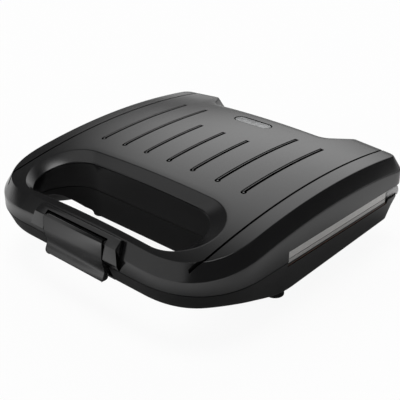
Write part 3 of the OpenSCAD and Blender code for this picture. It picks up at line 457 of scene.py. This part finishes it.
def cut(ob, part, material=None):
    """Takes a part away from an object; a material given here covers the cut's faces."""
    cutter = linked("cutter", part)
    bm = bmesh.new()
    bm.from_mesh(cutter.data)
    bmesh.ops.recalc_face_normals(bm, faces=bm.faces)
    bm.to_mesh(cutter.data)
    bm.free()
    mod = ob.modifiers.new("cut", "BOOLEAN")
    mod.operation, mod.solver, mod.object = "DIFFERENCE", "EXACT", cutter
    if material:
        cutter.data.materials.append(material)
        mod.material_mode = "TRANSFER"
    bpy.context.view_layer.update()
    done = bpy.data.meshes.new_from_object(ob.evaluated_get(bpy.context.evaluated_depsgraph_get()))
    ob.modifiers.remove(mod)
    old = ob.data
    ob.data = done
    done.name = old.name
    bpy.data.meshes.remove(old)
    cutter_mesh = cutter.data
    bpy.data.objects.remove(cutter)
    bpy.data.meshes.remove(cutter_mesh)


def add_part(ob, part):
    """Adds a part's points and faces to an object's mesh."""
    bm = bmesh.new()
    bm.from_mesh(ob.data)
    verts = [bm.verts.new((x * MM, y * MM, z * MM)) for x, y, z in part[0]]
    for face in part[1]:
        bm.faces.new([verts[i] for i in face])
    bm.to_mesh(ob.data)
    bm.free()


# ------------------------------------------------------------------ materials
def feed(tree, socket, value):
    """Sets an input, or links it to a socket or to a node's first output in use."""
    if isinstance(value, bpy.types.Node):
        value = next(output for output in value.outputs if output.enabled)
    if isinstance(value, bpy.types.NodeSocket):
        tree.links.new(value, socket)
    else:
        socket.default_value = value


def shader(tree, kind, inputs=None, **settings):
    """A new shader node with its settings and its inputs' values or sources."""
    node = tree.nodes.new("ShaderNode" + kind)
    for name, value in settings.items():
        setattr(node, name, value)
    for name, value in (inputs or {}).items():
        feed(tree, node.inputs[name], value)
    return node


def colour_ramp(tree, factor, stops, interpolation="LINEAR"):
    """A colour ramp through stops of (place, colour)."""
    node = shader(tree, "ValToRGB", {"Fac": factor})
    node.color_ramp.interpolation = interpolation
    elements = node.color_ramp.elements
    while len(elements) < len(stops):
        elements.new(1.0)
    for element, (place, colour) in zip(elements, stops):
        element.position = place
        element.color = (*colour, 1)
    return node


def principled(mat):
    return mat.node_tree.nodes["Principled BSDF"]


def material(name, base, rough, metallic=0.0, spec=0.5, noise_scale=900, bump=0.04, tint=0.12,
             rough_var=0.08, trans=0.0):
    """A surface with broad changes of shade and gloss, and a fine grain."""
    mat = bpy.data.materials.new(name)
    mat.use_nodes = True
    tree = mat.node_tree
    coord = shader(tree, "TexCoord").outputs["Object"]
    fine = shader(tree, "TexNoise", {"Vector": coord, "Scale": noise_scale, "Detail": 3})
    broad = shader(tree, "TexNoise", {"Vector": coord, "Scale": 22, "Detail": 4})
    dark = [c * (1 - tint) for c in base]
    light = [min(1, c * (1 + tint)) for c in base]
    gloss = {"Value": broad, "To Min": max(0.02, rough - rough_var), "To Max": min(1, rough + rough_var)}
    surface = {
        "Metallic": metallic,
        "Specular IOR Level": spec,
        "Transmission Weight": trans,
        "Base Color": colour_ramp(tree, broad, ((0.3, dark), (0.7, light))),
        "Roughness": shader(tree, "MapRange", gloss),
        "Normal": shader(tree, "Bump", {"Strength": bump, "Distance": 0.0002, "Height": fine}),
    }
    for socket, value in surface.items():
        feed(tree, principled(mat).inputs[socket], value)
    return mat


M = {
    "lid": material("satin_black_lid", (0.0065, 0.0065, 0.0068), 0.19, spec=0.38, bump=0.02, rough_var=0.03),
    "base": material("satin_black_base", (0.0045, 0.0045, 0.0047), 0.38, spec=0.28, bump=0.05),
    "latch": material("satin_black_latch", (0.0075, 0.0075, 0.0078), 0.2, spec=0.36, bump=0.02,
                      rough_var=0.03),
    # painted shade: the cut faces of grooves, seams, the window's opening and the latch's pocket are darker
    # and duller than the lid, as shade in the recesses
    "groove": material("groove_painted_shade", (0.0025, 0.0025, 0.0026), 0.6, spec=0.03, bump=0.05),
    # painted sheen: the knuckles' grey stands in for the bright reflection on their tops, over a partly
    # metallic finish
    "knuckle": material("knuckle_painted_sheen", (0.42, 0.42, 0.42), 0.45, metallic=0.4, bump=0.08, tint=0.05),
    "frame_black": material("matt_black_frame", (0.018, 0.018, 0.019), 0.55, spec=0.4, bump=0.1),
    # painted reflection: the lower frame's brown stands in for a bronze reflection along the base's top edge
    "frame_brown": material("brown_painted_reflection_frame", (0.09, 0.035, 0.016), 0.55, spec=0.35, bump=0.1),
    "steel": material("zinc_steel", (0.55, 0.55, 0.56), 0.35, metallic=1.0, bump=0.05, tint=0.06),
    "aluminium": material("bright_aluminium", (0.62, 0.62, 0.61), 0.32, metallic=1.0, bump=0.08, tint=0.06),
    "heater": material("heater_sheath", (0.16, 0.15, 0.14), 0.5, metallic=1.0, bump=0.12, tint=0.25),
    "rubber": material("rubber", (0.012, 0.012, 0.012), 0.8, spec=0.3, bump=0.3, noise_scale=1500),
    "ceramic": material("ceramic", (0.62, 0.58, 0.5), 0.6, bump=0.1, tint=0.05),
    "board": material("circuit_board", (0.28, 0.15, 0.06), 0.5, bump=0.05),
    "red": material("red_lamp", (0.45, 0.02, 0.015), 0.15, trans=0.3, bump=0.0),
    "green": material("green_lamp", (0.02, 0.3, 0.06), 0.15, trans=0.3, bump=0.0),
}


def plate_material():
    """Bare cast aluminium along the sides, dark non-stick coating inside the sealing rim."""
    bare, coating = 0.85, (0.028, 0.027, 0.026, 1)
    rim, edge = (0.1115, 0.1110), (0.0397, 0.0483)  # metres
    mat = material("cast_plate", (0.42, 0.414, 0.405), 0.42, metallic=bare, noise_scale=1400, bump=0.12,
                   tint=0.05)
    tree = mat.node_tree
    surface = principled(mat).inputs
    place = shader(tree, "SeparateXYZ", {"Vector": shader(tree, "TexCoord").outputs["Object"]})
    sideways = shader(tree, "Math", {0: place.outputs["X"]}, operation="ABSOLUTE")
    inside = shader(tree, "MapRange", {"Value": sideways, "From Min": rim[0], "From Max": rim[1]})
    # the lower plate's edge is darker, and its lowest part carries a painted shadow of the gap above the
    # frame
    level = shader(tree, "MapRange", {"Value": place.outputs["Z"], "From Min": edge[0], "From Max": edge[1]})
    # below 0.157 the painted shadow of the gap, up to 0.5 the darker edge
    stops = ((0.0, (0.02, 0.02, 0.02)), (0.157, (0.76, 0.76, 0.76)), (0.5, (1, 1, 1)))
    gap_shadow_and_darker_edge = colour_ramp(tree, level, stops, "CONSTANT")
    metal = surface["Base Color"].links[0].from_socket
    darkened_metal = shader(tree, "Mix", {"Factor": 1.0, "A": metal, "B": gap_shadow_and_darker_edge},
                  data_type="RGBA", blend_type="MULTIPLY")
    colour = shader(tree, "Mix", {"Factor": inside, "A": darkened_metal, "B": coating}, data_type="RGBA")
    metallic = shader(tree, "MapRange", {"Value": inside, "To Min": bare, "To Max": 0.0})
    feed(tree, surface["Base Color"], colour)
    feed(tree, surface["Metallic"], metallic)
    return mat


def lens_material():
    """Frosted plastic with small cells."""
    mat = material("frosted_lens", (0.42, 0.43, 0.44), 0.25, spec=0.6, noise_scale=260, bump=0.5, tint=0.05,
                   trans=0.25)
    tree = mat.node_tree
    coord = shader(tree, "TexCoord").outputs["Object"]
    cells = shader(tree, "TexVoronoi", {"Vector": coord, "Scale": 300})
    colour = colour_ramp(tree, cells, ((0.0, (0.3, 0.31, 0.32)), (1.0, (0.07, 0.072, 0.075))))
    feed(tree, principled(mat).inputs["Base Color"], colour)
    return mat


M["plate"] = plate_material()
M["lens"] = lens_material()


# ------------------------------------------------------------------ lid
def lid_columns():
    """Closed columns through the lid's wall, top, lip, inner wall and roof."""
    lid, hole = whole(lid_half()), whole(stadium(HOLE_L, HOLE_W, HOLE_Y))
    lip = whole(stadium(LIP_L, LIP_W, LIP_Y))
    columns = []
    for p, h, rim in zip(lid, hole, lip):
        edge, edge_in = off(p, -BEVEL_W), off(p, -BEVEL_W - 1.5)
        wall_in, hole_in = off(p, -WALL), off(h, WALL)
        edge_z, hole_z, lip_z = top_z(*edge), top_z(h[0], h[1]), top_z(rim[0], rim[1]) - LIP_DROP
        bevel_z = edge_z - BEVEL_H
        column = [(p[0], p[1], LID_JOINT), (p[0], p[1], bevel_z), (*edge, edge_z)]
        for i in range(1, TOP_STEPS):
            x, y = between(edge, h, i / TOP_STEPS)
            column.append((x, y, top_z(x, y)))
        k = len(column)
        column += [(h[0], h[1], hole_z), (rim[0], rim[1], lip_z), (rim[0], rim[1], lip_z - LIP_EDGE),
                   (h[0], h[1], hole_z - LIP_ROOT), (h[0], h[1], LID_JOINT), (*hole_in, LID_JOINT)]
        for i in range(ROOF_STEPS + 1):
            x, y = between(hole_in, edge_in, i / ROOF_STEPS)
            column.append((x, y, top_z(x, y) - WALL))
        column += [(*wall_in, bevel_z - 1), (*wall_in, LID_JOINT)]
        # the joint and the bevel outside, then the opening's edge, the lip and the joint inside
        cuts = {0: 0.35, 1: 1.2, 2: 1.2, k: 0.7, k + 1: 0.6, k + 2: 0.5, k + 3: 1.0, k + 4: 0.35}
        columns.append(rounded(column, cuts))
    return columns


def groove_places():
    """The middle and the rear end of each groove."""
    return [(GROOVE_PITCH * k, SHORT_GROOVE if abs(k) <= 1 else LONG_GROOVE) for k in range(-3, 4)]


def groove_cutter(x, rear, shift, width, depth, short=0.0):
    """A cutter along a groove; it may stop short of the groove's rear end."""
    ys = [mix(GROOVE_FRONT, rear, i / 24) for i in range(25)]
    ys[-1] -= short
    return swept_slot([(x + shift, y) for y in ys], width, depth, 2, [top_z(x, y) for y in ys])


def groove_dimple(x):
    z = top_z(x, GROOVE_FRONT)
    return prism(circle_plan(x + DIMPLE_SHIFT, DIMPLE_Y, DIMPLE_R, 28), z - DIMPLE_D, z + 2)


def groove_pin(x):
    """Small round pin that stands in a dimple."""
    z = top_z(x, GROOVE_FRONT)
    return turned(x + DIMPLE_SHIFT, PIN_Y, ((z - 2.0, 0.85), (z - 0.4, 0.85), (z - 0.15, 0.65)), 16)


def surface_tree(ob):
    """The object's surface as it is now, for rays."""
    bm = bmesh.new()
    bm.from_mesh(ob.data)
    tree = BVHTree.FromBMesh(bm)
    bm.free()
    return tree


def seam_height(tree, x, y):
    """The lid's surface on a seam, as a ray from above finds it."""
    on_lid = min(y, REAR - 1.5)
    hit = tree.ray_cast(Vector((x * MM, on_lid * MM, 0.2)), Vector((0, 0, -1)))
    height = hit[0].z / MM if hit[0] else top_z(x, y)
    start, end = SEAM_LEVEL
    if start < y < end:
        height = min(height, top_z(SEAM_X, (start + end) / 2))
    return height


def seam_cutter(s, tree):
    path = [(s * SEAM_X, mix(SEAM_REAR, SEAM_TURN, i / 60)) for i in range(61)]
    for i in range(11):
        x, y = between(SEAM_BEND, SEAM_END, i / 10)
        path.append((s * x, y))
    return swept_slot(path, SEAM_W, SEAM_D, 6, [seam_height(tree, x, y) for x, y in path])


def make_lid():
    """The lid's shell with its grooves, seams, openings and window."""
    ob = new_object("lid_shell", ring_mesh(lid_columns()), "lid", M["lid"])
    tree = surface_tree(ob)
    places = groove_places()
    steps = [groove_cutter(x, rear, STEP_SHIFT, STEP_W, STEP_D) for x, rear in places]
    slots = [groove_cutter(x, rear, SLOT_SHIFT, SLOT_W, SLOT_D, SLOT_SHORT) for x, rear in places]
    cut(ob, joined(steps))
    # the slots and dimples carry the painted shade
    cut(ob, joined(slots), M["groove"])
    cut(ob, joined([groove_dimple(x) for x, _ in places]), M["groove"])
    add_part(ob, joined([groove_pin(x) for x, _ in places]))
    # opening over the plates and behind them, then the latch's pocket
    cut(ob, box(-BEYOND, BEYOND, SLOT_FRONT, BEYOND, UNDER_LID, LID_EDGE))
    cut(ob, box(-POCKET_W / 2, POCKET_W / 2, -BEYOND, POCKET_BACK, UNDER_LID, POCKET_TOP))
    # the window's opening and the seams carry the painted shade
    cut(ob, prism(stadium_plan(LENS_L, LENS_W, LENS_Y, 20), LENS_FLOOR, OVER_LID), M["groove"])
    for s in (-1, 1):
        cut(ob, seam_cutter(s, tree), M["groove"])
    tidy_normals(ob)
    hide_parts("upper_cover")


# ------------------------------------------------------------------ latch housing
def make_housing():
    """The latch housing on the lid's front: a convex body, undercut at its ends and open for the latch."""
    points = [(s * half, y, z) for s in (-1, 1) for y, z, half in HOUSING]
    ob = new_object("latch_housing", convex(points, 0.35), "lid", M["lid"], sharp=24)
    for s in (-1, 1):
        cut(ob, convex([(s * x, y, z) for x, y, z in UNDERCUT]))
    pocket = box(-POCKET_W / 2, POCKET_W / 2, -BEYOND, POCKET_BACK, UNDER_LID, POCKET_TOP + LATCH_SWING)
    # the pocket and the fine line carry the painted shade
    cut(ob, pocket, M["groove"])
    cut(ob, bar_x(HOUSING_LINE, -HOUSING_REACH, HOUSING_REACH), M["groove"])
    tidy_normals(ob, 24)


# ------------------------------------------------------------------ latch
def latch_half(z):
    """Half the latch's width at a level; its corners are round."""
    above, below = z - (LATCH_TOP - LATCH_TOP_R), (LATCH_FOOT + LATCH_FOOT_R) - z
    half = LATCH_HALF
    if above > 0:
        half -= LATCH_TOP_R - math.sqrt(max(0, LATCH_TOP_R ** 2 - above * above))
    if below > 0:
        half -= LATCH_FOOT_R - math.sqrt(max(0, LATCH_FOOT_R ** 2 - below * below))
    return half


def latch_section(profile, s, inset, shrink):
    """The profile at one end of the latch, moved in from the end by inset and drawn in by shrink."""
    section = []
    for i, (y, z) in enumerate(profile):
        a, b = profile[i - 1], profile[(i + 1) % len(profile)]
        t = Vector((b[0] - a[0], b[1] - a[1])).normalized()
        section.append((s * (latch_half(z) - inset), y + t.y * shrink, z - t.x * shrink))
    return section


def make_latch():
    """The latch's body between two rounded ends, and its barrel and hook; end is (inset, shrink) rows."""
    profile = smooth_profile(LATCH_FACE + LATCH_BACK)
    end = ((0.0, 0.4), (0.12, 0.15), (0.4, 0.0))
    sections = [latch_section(profile, -1, *step) for step in end]
    sections += [latch_section(profile, 1, *step) for step in reversed(end)]
    ob = new_object("latch_body", loft(sections), "latch", M["latch"], sharp=40)
    barrel = bar_x(circle_plan(LATCH_Y, LATCH_Z, BARREL_R, 20), -BARREL_HALF, BARREL_HALF)
    new_object("latch_core", joined([barrel, box(*HOOK)]), "latch", M["latch"])
    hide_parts("latch")


# ------------------------------------------------------------------ indicator
def make_lens():
    """A lens that follows the lid's top, with a rounded edge of (height, inset) rows."""
    slope = 2 * CROWN_FALL * (LENS_Y - CROWN_Y) / CROWN_SPAN ** 2
    sections = []
    for dz, inset in ((-3.0, 0.9), (-0.5, 0.9), (-0.25, 1.05), (-0.15, 1.6)):
        plan = stadium_plan(LENS_L - 2 * inset, LENS_W - 2 * inset, 0, 20)
        z = top_z(0, LENS_Y) + dz
        sections.append([(x, LENS_Y + y, z - slope * y - SIDE_FALL * (x / HALF_W) ** 2) for x, y in plan])
    ob = new_object("indicator_window", loft(sections), "lid", M["lens"], sharp=50)
    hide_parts("indicator_lens")


# ------------------------------------------------------------------ base
def end_lift(h):
    """How far the base's underside rises at a point of the handle opening."""
    middle = (HOLE_L - HOLE_W) / 2
    if abs(h[0]) <= middle:
        return 0.0
    angle = math.degrees(math.atan2(h[1] - HOLE_Y, abs(h[0]) - middle))
    for (a0, lift0), (a1, lift1) in zip(END_LIFT, END_LIFT[1:]):
        if a0 <= angle <= a1:
            return mix(lift0, lift1, (angle - a0) / (a1 - a0))
    return 0.0


def base_columns():
    """Closed columns through the base's wall, underside, inner wall and floor."""
    base, hole = whole(base_half()), whole(stadium(HOLE_L, HOLE_W, HOLE_Y))
    low_hole = whole(stadium(HOLE_L + 2 * HOLE_DRAFT, HOLE_W + HOLE_DRAFT, HOLE_Y + HOLE_DRAFT / 2))
    columns = []
    for p, h, low_h in zip(base, hole, low_hole):
        low, foot = off(p, -LEAN, -LEAN_FRONT), off(p, -CHAMFER, -CHAMFER_FRONT)
        wall_in, floor_in = off(p, -WALL), off(p, -LEAN - WALL - 1, -LEAN_FRONT - WALL + 0.5)
        hole_in, low_in = off(h, WALL), off(low_h, WALL)
        lift = end_lift(h)
        column = [(p[0], p[1], BASE_JOINT), (*low, under_z(low[1]) + CHAMFER_H), (*foot, under_z(foot[1]))]
        for i in range(1, UNDER_STEPS):
            x, y = between(foot, low_h, i / UNDER_STEPS)
            column.append((x, y, under_z(y) + lift * (i / UNDER_STEPS) ** 2))
        k = len(column)
        low_z = under_z(low_h[1]) + lift
        t = (BASE_JOINT - low_z) / (BASE_JOINT - under_z(low_h[1]))
        column += [(*between(h, low_h, t), low_z), (h[0], h[1], BASE_JOINT), (*hole_in, BASE_JOINT)]
        for i in range(FLOOR_STEPS + 1):
            x, y = between(low_in, floor_in, i / FLOOR_STEPS)
            column.append((x, y, under_z(y) + WALL + lift * (1 - i / FLOOR_STEPS) ** 2))
        column += [(*floor_in, under_z(floor_in[1]) + WALL + 1), (*wall_in, BASE_JOINT)]
        columns.append(rounded(column, {0: 0.35, 1: 0.8, 2: 0.8, k: 0.8, k + 1: 0.35}))
    return columns


def knuckle_section(x, inset):
    """A knuckle's outline across X, drawn in by inset: round over the pin, with a rounded front edge."""
    front, foot, top = KNUCKLE_FRONT + inset, KNUCKLE_FOOT + inset, KNUCKLE_TOP - inset
    points = [(x, front, foot)]
    r = KNUCKLE_TOP_R
    for i in range(7):
        a = math.radians(180 - 90 * i / 6)
        points.append((x, front + r + r * math.cos(a), top - r + r * math.sin(a)))
    r = KNUCKLE_R - inset
    for i in range(13):
        a = math.radians(90 - 90 * i / 12)
        points.append((x, HINGE_Y + r * math.cos(a), HINGE_Z + r * math.sin(a)))
    points.append((x, BASE_REAR - 1 - inset, foot))
    return points


def knuckle(s):
    """Rounded block that carries a hinge pin, from its inner face to its rounded outer end."""
    ends = ((KNUCKLE_IN, 0.4), (KNUCKLE_IN + 0.4, 0.0), (KNUCKLE_OUT - 2.6, 0.0), (KNUCKLE_OUT - 1.5, 0.22),
            (KNUCKLE_OUT - 0.7, 0.7), (KNUCKLE_OUT - 0.2, 1.4), (KNUCKLE_OUT, 2.4))
    return loft([knuckle_section(s * x, inset) for x, inset in ends])


def post(s):
    """Leaning post under a knuckle, behind the base's walls, with its rear corner cut off."""
    sections = []
    for z in POST_LEVELS:
        side, rear = HALF_W - lean(z) - POST_GAP, BASE_REAR - lean(z) - POST_GAP
        plan = ((KNUCKLE_IN, POST_FRONT), (side, POST_FRONT), (side, rear - POST_CHAMFER),
                (side - POST_CHAMFER, rear), (KNUCKLE_IN, rear))
        sections.append([(s * x, y, z) for x, y in plan])
    return loft(sections)


def hinge_rib(s):
    """Rib on a knuckle's inner side: an eye about the hinge's axis, on a foot along the rear wall."""
    wall = [(BASE_REAR - 1 - lean(z), z) for z in (RIB_FOOT, RIB_BEND)]
    side = [(RIB_FRONT, RIB_FOOT)] + wall + [(RIB_REAR, RIB_TOP), (RIB_FRONT, RIB_TOP)]
    eye = circle_plan(HINGE_Y, HINGE_Z, RIB_R, 24)
    return joined([bar_x(eye, s * RIB_IN, s * RIB_OUT), bar_x(side, s * RIB_IN, s * RIB_OUT)])


def foot(x, y):
    """Foot under the base, over its rubber pad, with a collar at the top."""
    z, r = under_z(y) + 1, FOOT_R
    return turned(x, y, ((3.0, r - 0.4), (3.4, r), (z - 1.6, r), (z - 1.2, r + 0.3), (z, r + 1.2)), 28)


def make_base():
    """The base's shell and its hinge knuckles, posts, ribs, feet, bush pad and catch."""
    ob = new_object("base_shell", ring_mesh(base_columns()), "base", M["base"])
    # sides and rear down to the frame's edge, the latch's pocket, and room for the lid's arms
    arms = ((ARM_IN, KNUCKLE_IN), (-KNUCKLE_IN, -ARM_IN))
    cut(ob, box(-BEYOND, BEYOND, SLOT_FRONT, SLOT_REAR, BASE_EDGE, OVER_BASE))
    cut(ob, box(-KNUCKLE_IN, KNUCKLE_IN, SLOT_REAR - 1, BEYOND, BASE_EDGE, OVER_BASE))
    cut(ob, box(-POCKET_W / 2, POCKET_W / 2, -BEYOND, POCKET_BACK, 0, OVER_BASE))
    cut(ob, joined([box(x0, x1, HINGE_Y, BEYOND, ARM_FLOOR, OVER_BASE) for x0, x1 in arms]))
    tidy_normals(ob)
    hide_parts("lower_cover")
    # the knuckles carry the painted sheen
    new_object("hinge_knuckles", joined([knuckle(1), knuckle(-1)]), "base", M["knuckle"], sharp=50)
    new_object("hinge_posts", joined([post(1), post(-1)]), "base", M["base"])
    new_object("hinge_ribs", joined([hinge_rib(-1), hinge_rib(1)]), "base", M["base"])
    fittings = [foot(s * x, y) for s in (-1, 1) for x, y in FEET]
    pad = circle_plan(BUSH_X, BUSH_Z, BUSH_R, 32)
    fittings.append(loft([[(x, y, z) for x, z in pad] for y in (BUSH_FRONT, BUSH_REAR)]))
    fittings += [box(*CATCH_WALL), box(*CATCH_LEDGE)]
    new_object("base_fittings", joined(fittings), "base", M["base"])


# ------------------------------------------------------------------ materials of the CAD nodes that stay
KEPT = {
    "upper_inner_frame": "frame_black", "upper_handle_liner": "frame_black",
    # the lower frame's brown is a painted reflection
    "lower_inner_frame": "frame_brown", "lower_handle_liner": "frame_black",
    "upper_plate": "plate", "lower_plate": "plate",
    "upper_heater": "heater", "lower_heater": "heater", "upper_heat_shield": "aluminium",
    "lower_heat_shield": "aluminium", "lamp_board": "board", "red_lamp": "red", "green_lamp": "green",
    "latch_pin": "steel", "hinge_pins": "steel", "thermostat": "ceramic", "thermal_fuse": "ceramic",
    "fuse_clip": "aluminium", "terminal_block": "ceramic", "cord_bush": "rubber", "foot_pads": "rubber",
}


def dress_kept_nodes():
    """Gives every CAD node that stays in sight its material."""
    for name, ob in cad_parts.items():
        key = "steel" if name.endswith("_screws") else KEPT.get(name)
        if key:
            ob.data.materials.clear()
            ob.data.materials.append(M[key])
            shade(ob, 30)


# ------------------------------------------------------------------ stage, lights, camera
def floor_material():
    """White to the camera; in reflections a painted shadow close to the toaster, painted light before it and
    painted shade behind.
    """
    mat = bpy.data.materials.new("floor_white")
    mat.use_nodes = True
    tree = mat.node_tree
    matt = principled(mat)
    matt.inputs["Base Color"].default_value = (0.95, 0.95, 0.95, 1)
    matt.inputs["Roughness"].default_value = 0.8
    matt.inputs["Specular IOR Level"].default_value = 0.0
    ray = shader(tree, "LightPath").outputs
    mirrored = shader(tree, "Math", {0: ray["Is Glossy Ray"], 1: ray["Is Transmission Ray"]},
                      operation="MAXIMUM")
    seen = shader(tree, "Math", {0: ray["Is Camera Ray"], 1: mirrored}, operation="MAXIMUM")
    place = shader(tree, "TexCoord").outputs["Object"]
    # distance from a square under the body
    reach = shader(tree, "VectorMath", {0: place}, operation="ABSOLUTE")
    beyond = shader(tree, "VectorMath", {0: reach, 1: (UNDER_BODY, UNDER_BODY, 0)}, operation="SUBTRACT")
    outside = shader(tree, "VectorMath", {0: beyond}, operation="MAXIMUM")
    away = shader(tree, "VectorMath", {0: outside}, operation="LENGTH")
    # painted shadow: in reflections the glow is dark close to the body
    painted_shadow = shader(tree, "MapRange", {"Value": away, "From Min": NEAR_FLOOR, "From Max": FAR_FLOOR,
                                     "To Min": NEAR_PAINTED_SHADOW}, interpolation_type="SMOOTHSTEP")
    depth = shader(tree, "SeparateXYZ", {"Vector": place}).outputs["Y"]
    # painted light before the toaster, and painted shade far behind it
    painted_front_light = shader(tree, "MapRange", {"Value": depth, "From Min": FRONT_RANGE[0], "From Max": FRONT_RANGE[1],
                                      "To Min": FRONT_PAINTED_LIGHT, "To Max": FLOOR_GLOW})
    behind = shader(tree, "MapRange", {"Value": depth, "From Min": BACK_RANGE[0], "From Max": BACK_RANGE[1],
                                       "To Min": painted_front_light, "To Max": BACK_PAINTED_SHADE})
    level = shader(tree, "Math", {0: painted_shadow, 1: behind}, operation="MULTIPLY")
    strength = shader(tree, "Mix", {"Factor": ray["Is Camera Ray"], "A": level, "B": 1.0}, data_type="FLOAT")
    share = shader(tree, "Math", {0: seen, 1: FLOOR_WHITE}, operation="MULTIPLY")
    glow = shader(tree, "Emission", {"Color": (1, 1, 1, 1), "Strength": strength})
    blend = shader(tree, "MixShader", {"Fac": share, 1: matt, 2: glow})
    feed(tree, tree.nodes["Material Output"].inputs["Surface"], blend)
    return mat


def make_floor():
    """A wide floor under the feet."""
    mesh = bpy.data.meshes.new("floor")
    r = FLOOR_REACH
    mesh.from_pydata([(-r, -r, 0), (r, -r, 0), (r, r, 0), (-r, r, 0)], [], [(0, 1, 2, 3)])
    ob = bpy.data.objects.new("floor", mesh)
    bpy.context.scene.collection.objects.link(ob)
    mesh.materials.append(floor_material())


def make_world():
    """A white sky of round soft lights over an even fill."""
    world = bpy.data.worlds.new("studio")
    bpy.context.scene.world = world
    world.use_nodes = True
    tree = world.node_tree
    sky = tree.nodes["Background"].inputs
    look = shader(tree, "TexCoord").outputs["Generated"]
    total = FILL
    for azimuth, elevation, outer, inner, strength in SOFT_LIGHTS:
        a, e = math.radians(azimuth), math.radians(elevation)
        towards = (math.cos(e) * math.cos(a), math.cos(e) * math.sin(a), math.sin(e))
        dot = shader(tree, "VectorMath", {0: look, 1: towards}, operation="DOT_PRODUCT")
        rim, core = math.cos(math.radians(outer)), math.cos(math.radians(inner))
        fade = shader(tree, "MapRange", {"Value": dot, "From Min": rim, "From Max": core, "To Max": strength},
                      interpolation_type="SMOOTHSTEP")
        total = shader(tree, "Math", {0: total, 1: fade}, operation="ADD")
    sky["Color"].default_value = (1, 1, 1, 1)
    feed(tree, sky["Strength"], total)


def make_camera():
    """The camera, and the plain view transform."""
    data = bpy.data.cameras.new("camera")
    data.lens = FOCAL_LENGTH
    data.sensor_width = 36
    data.clip_start = 0.01
    camera = bpy.data.objects.new("camera", data)
    bpy.context.scene.collection.objects.link(camera)
    camera.location = Vector(CAMERA) * MM
    camera.rotation_euler = (Vector(TARGET) * MM - camera.location).to_track_quat("-Z", "Y").to_euler()
    bpy.context.scene.camera = camera
    bpy.context.scene.view_settings.view_transform = "Standard"


make_lid()
make_housing()
make_latch()
make_lens()
make_base()
dress_kept_nodes()
make_floor()
make_world()
make_camera()
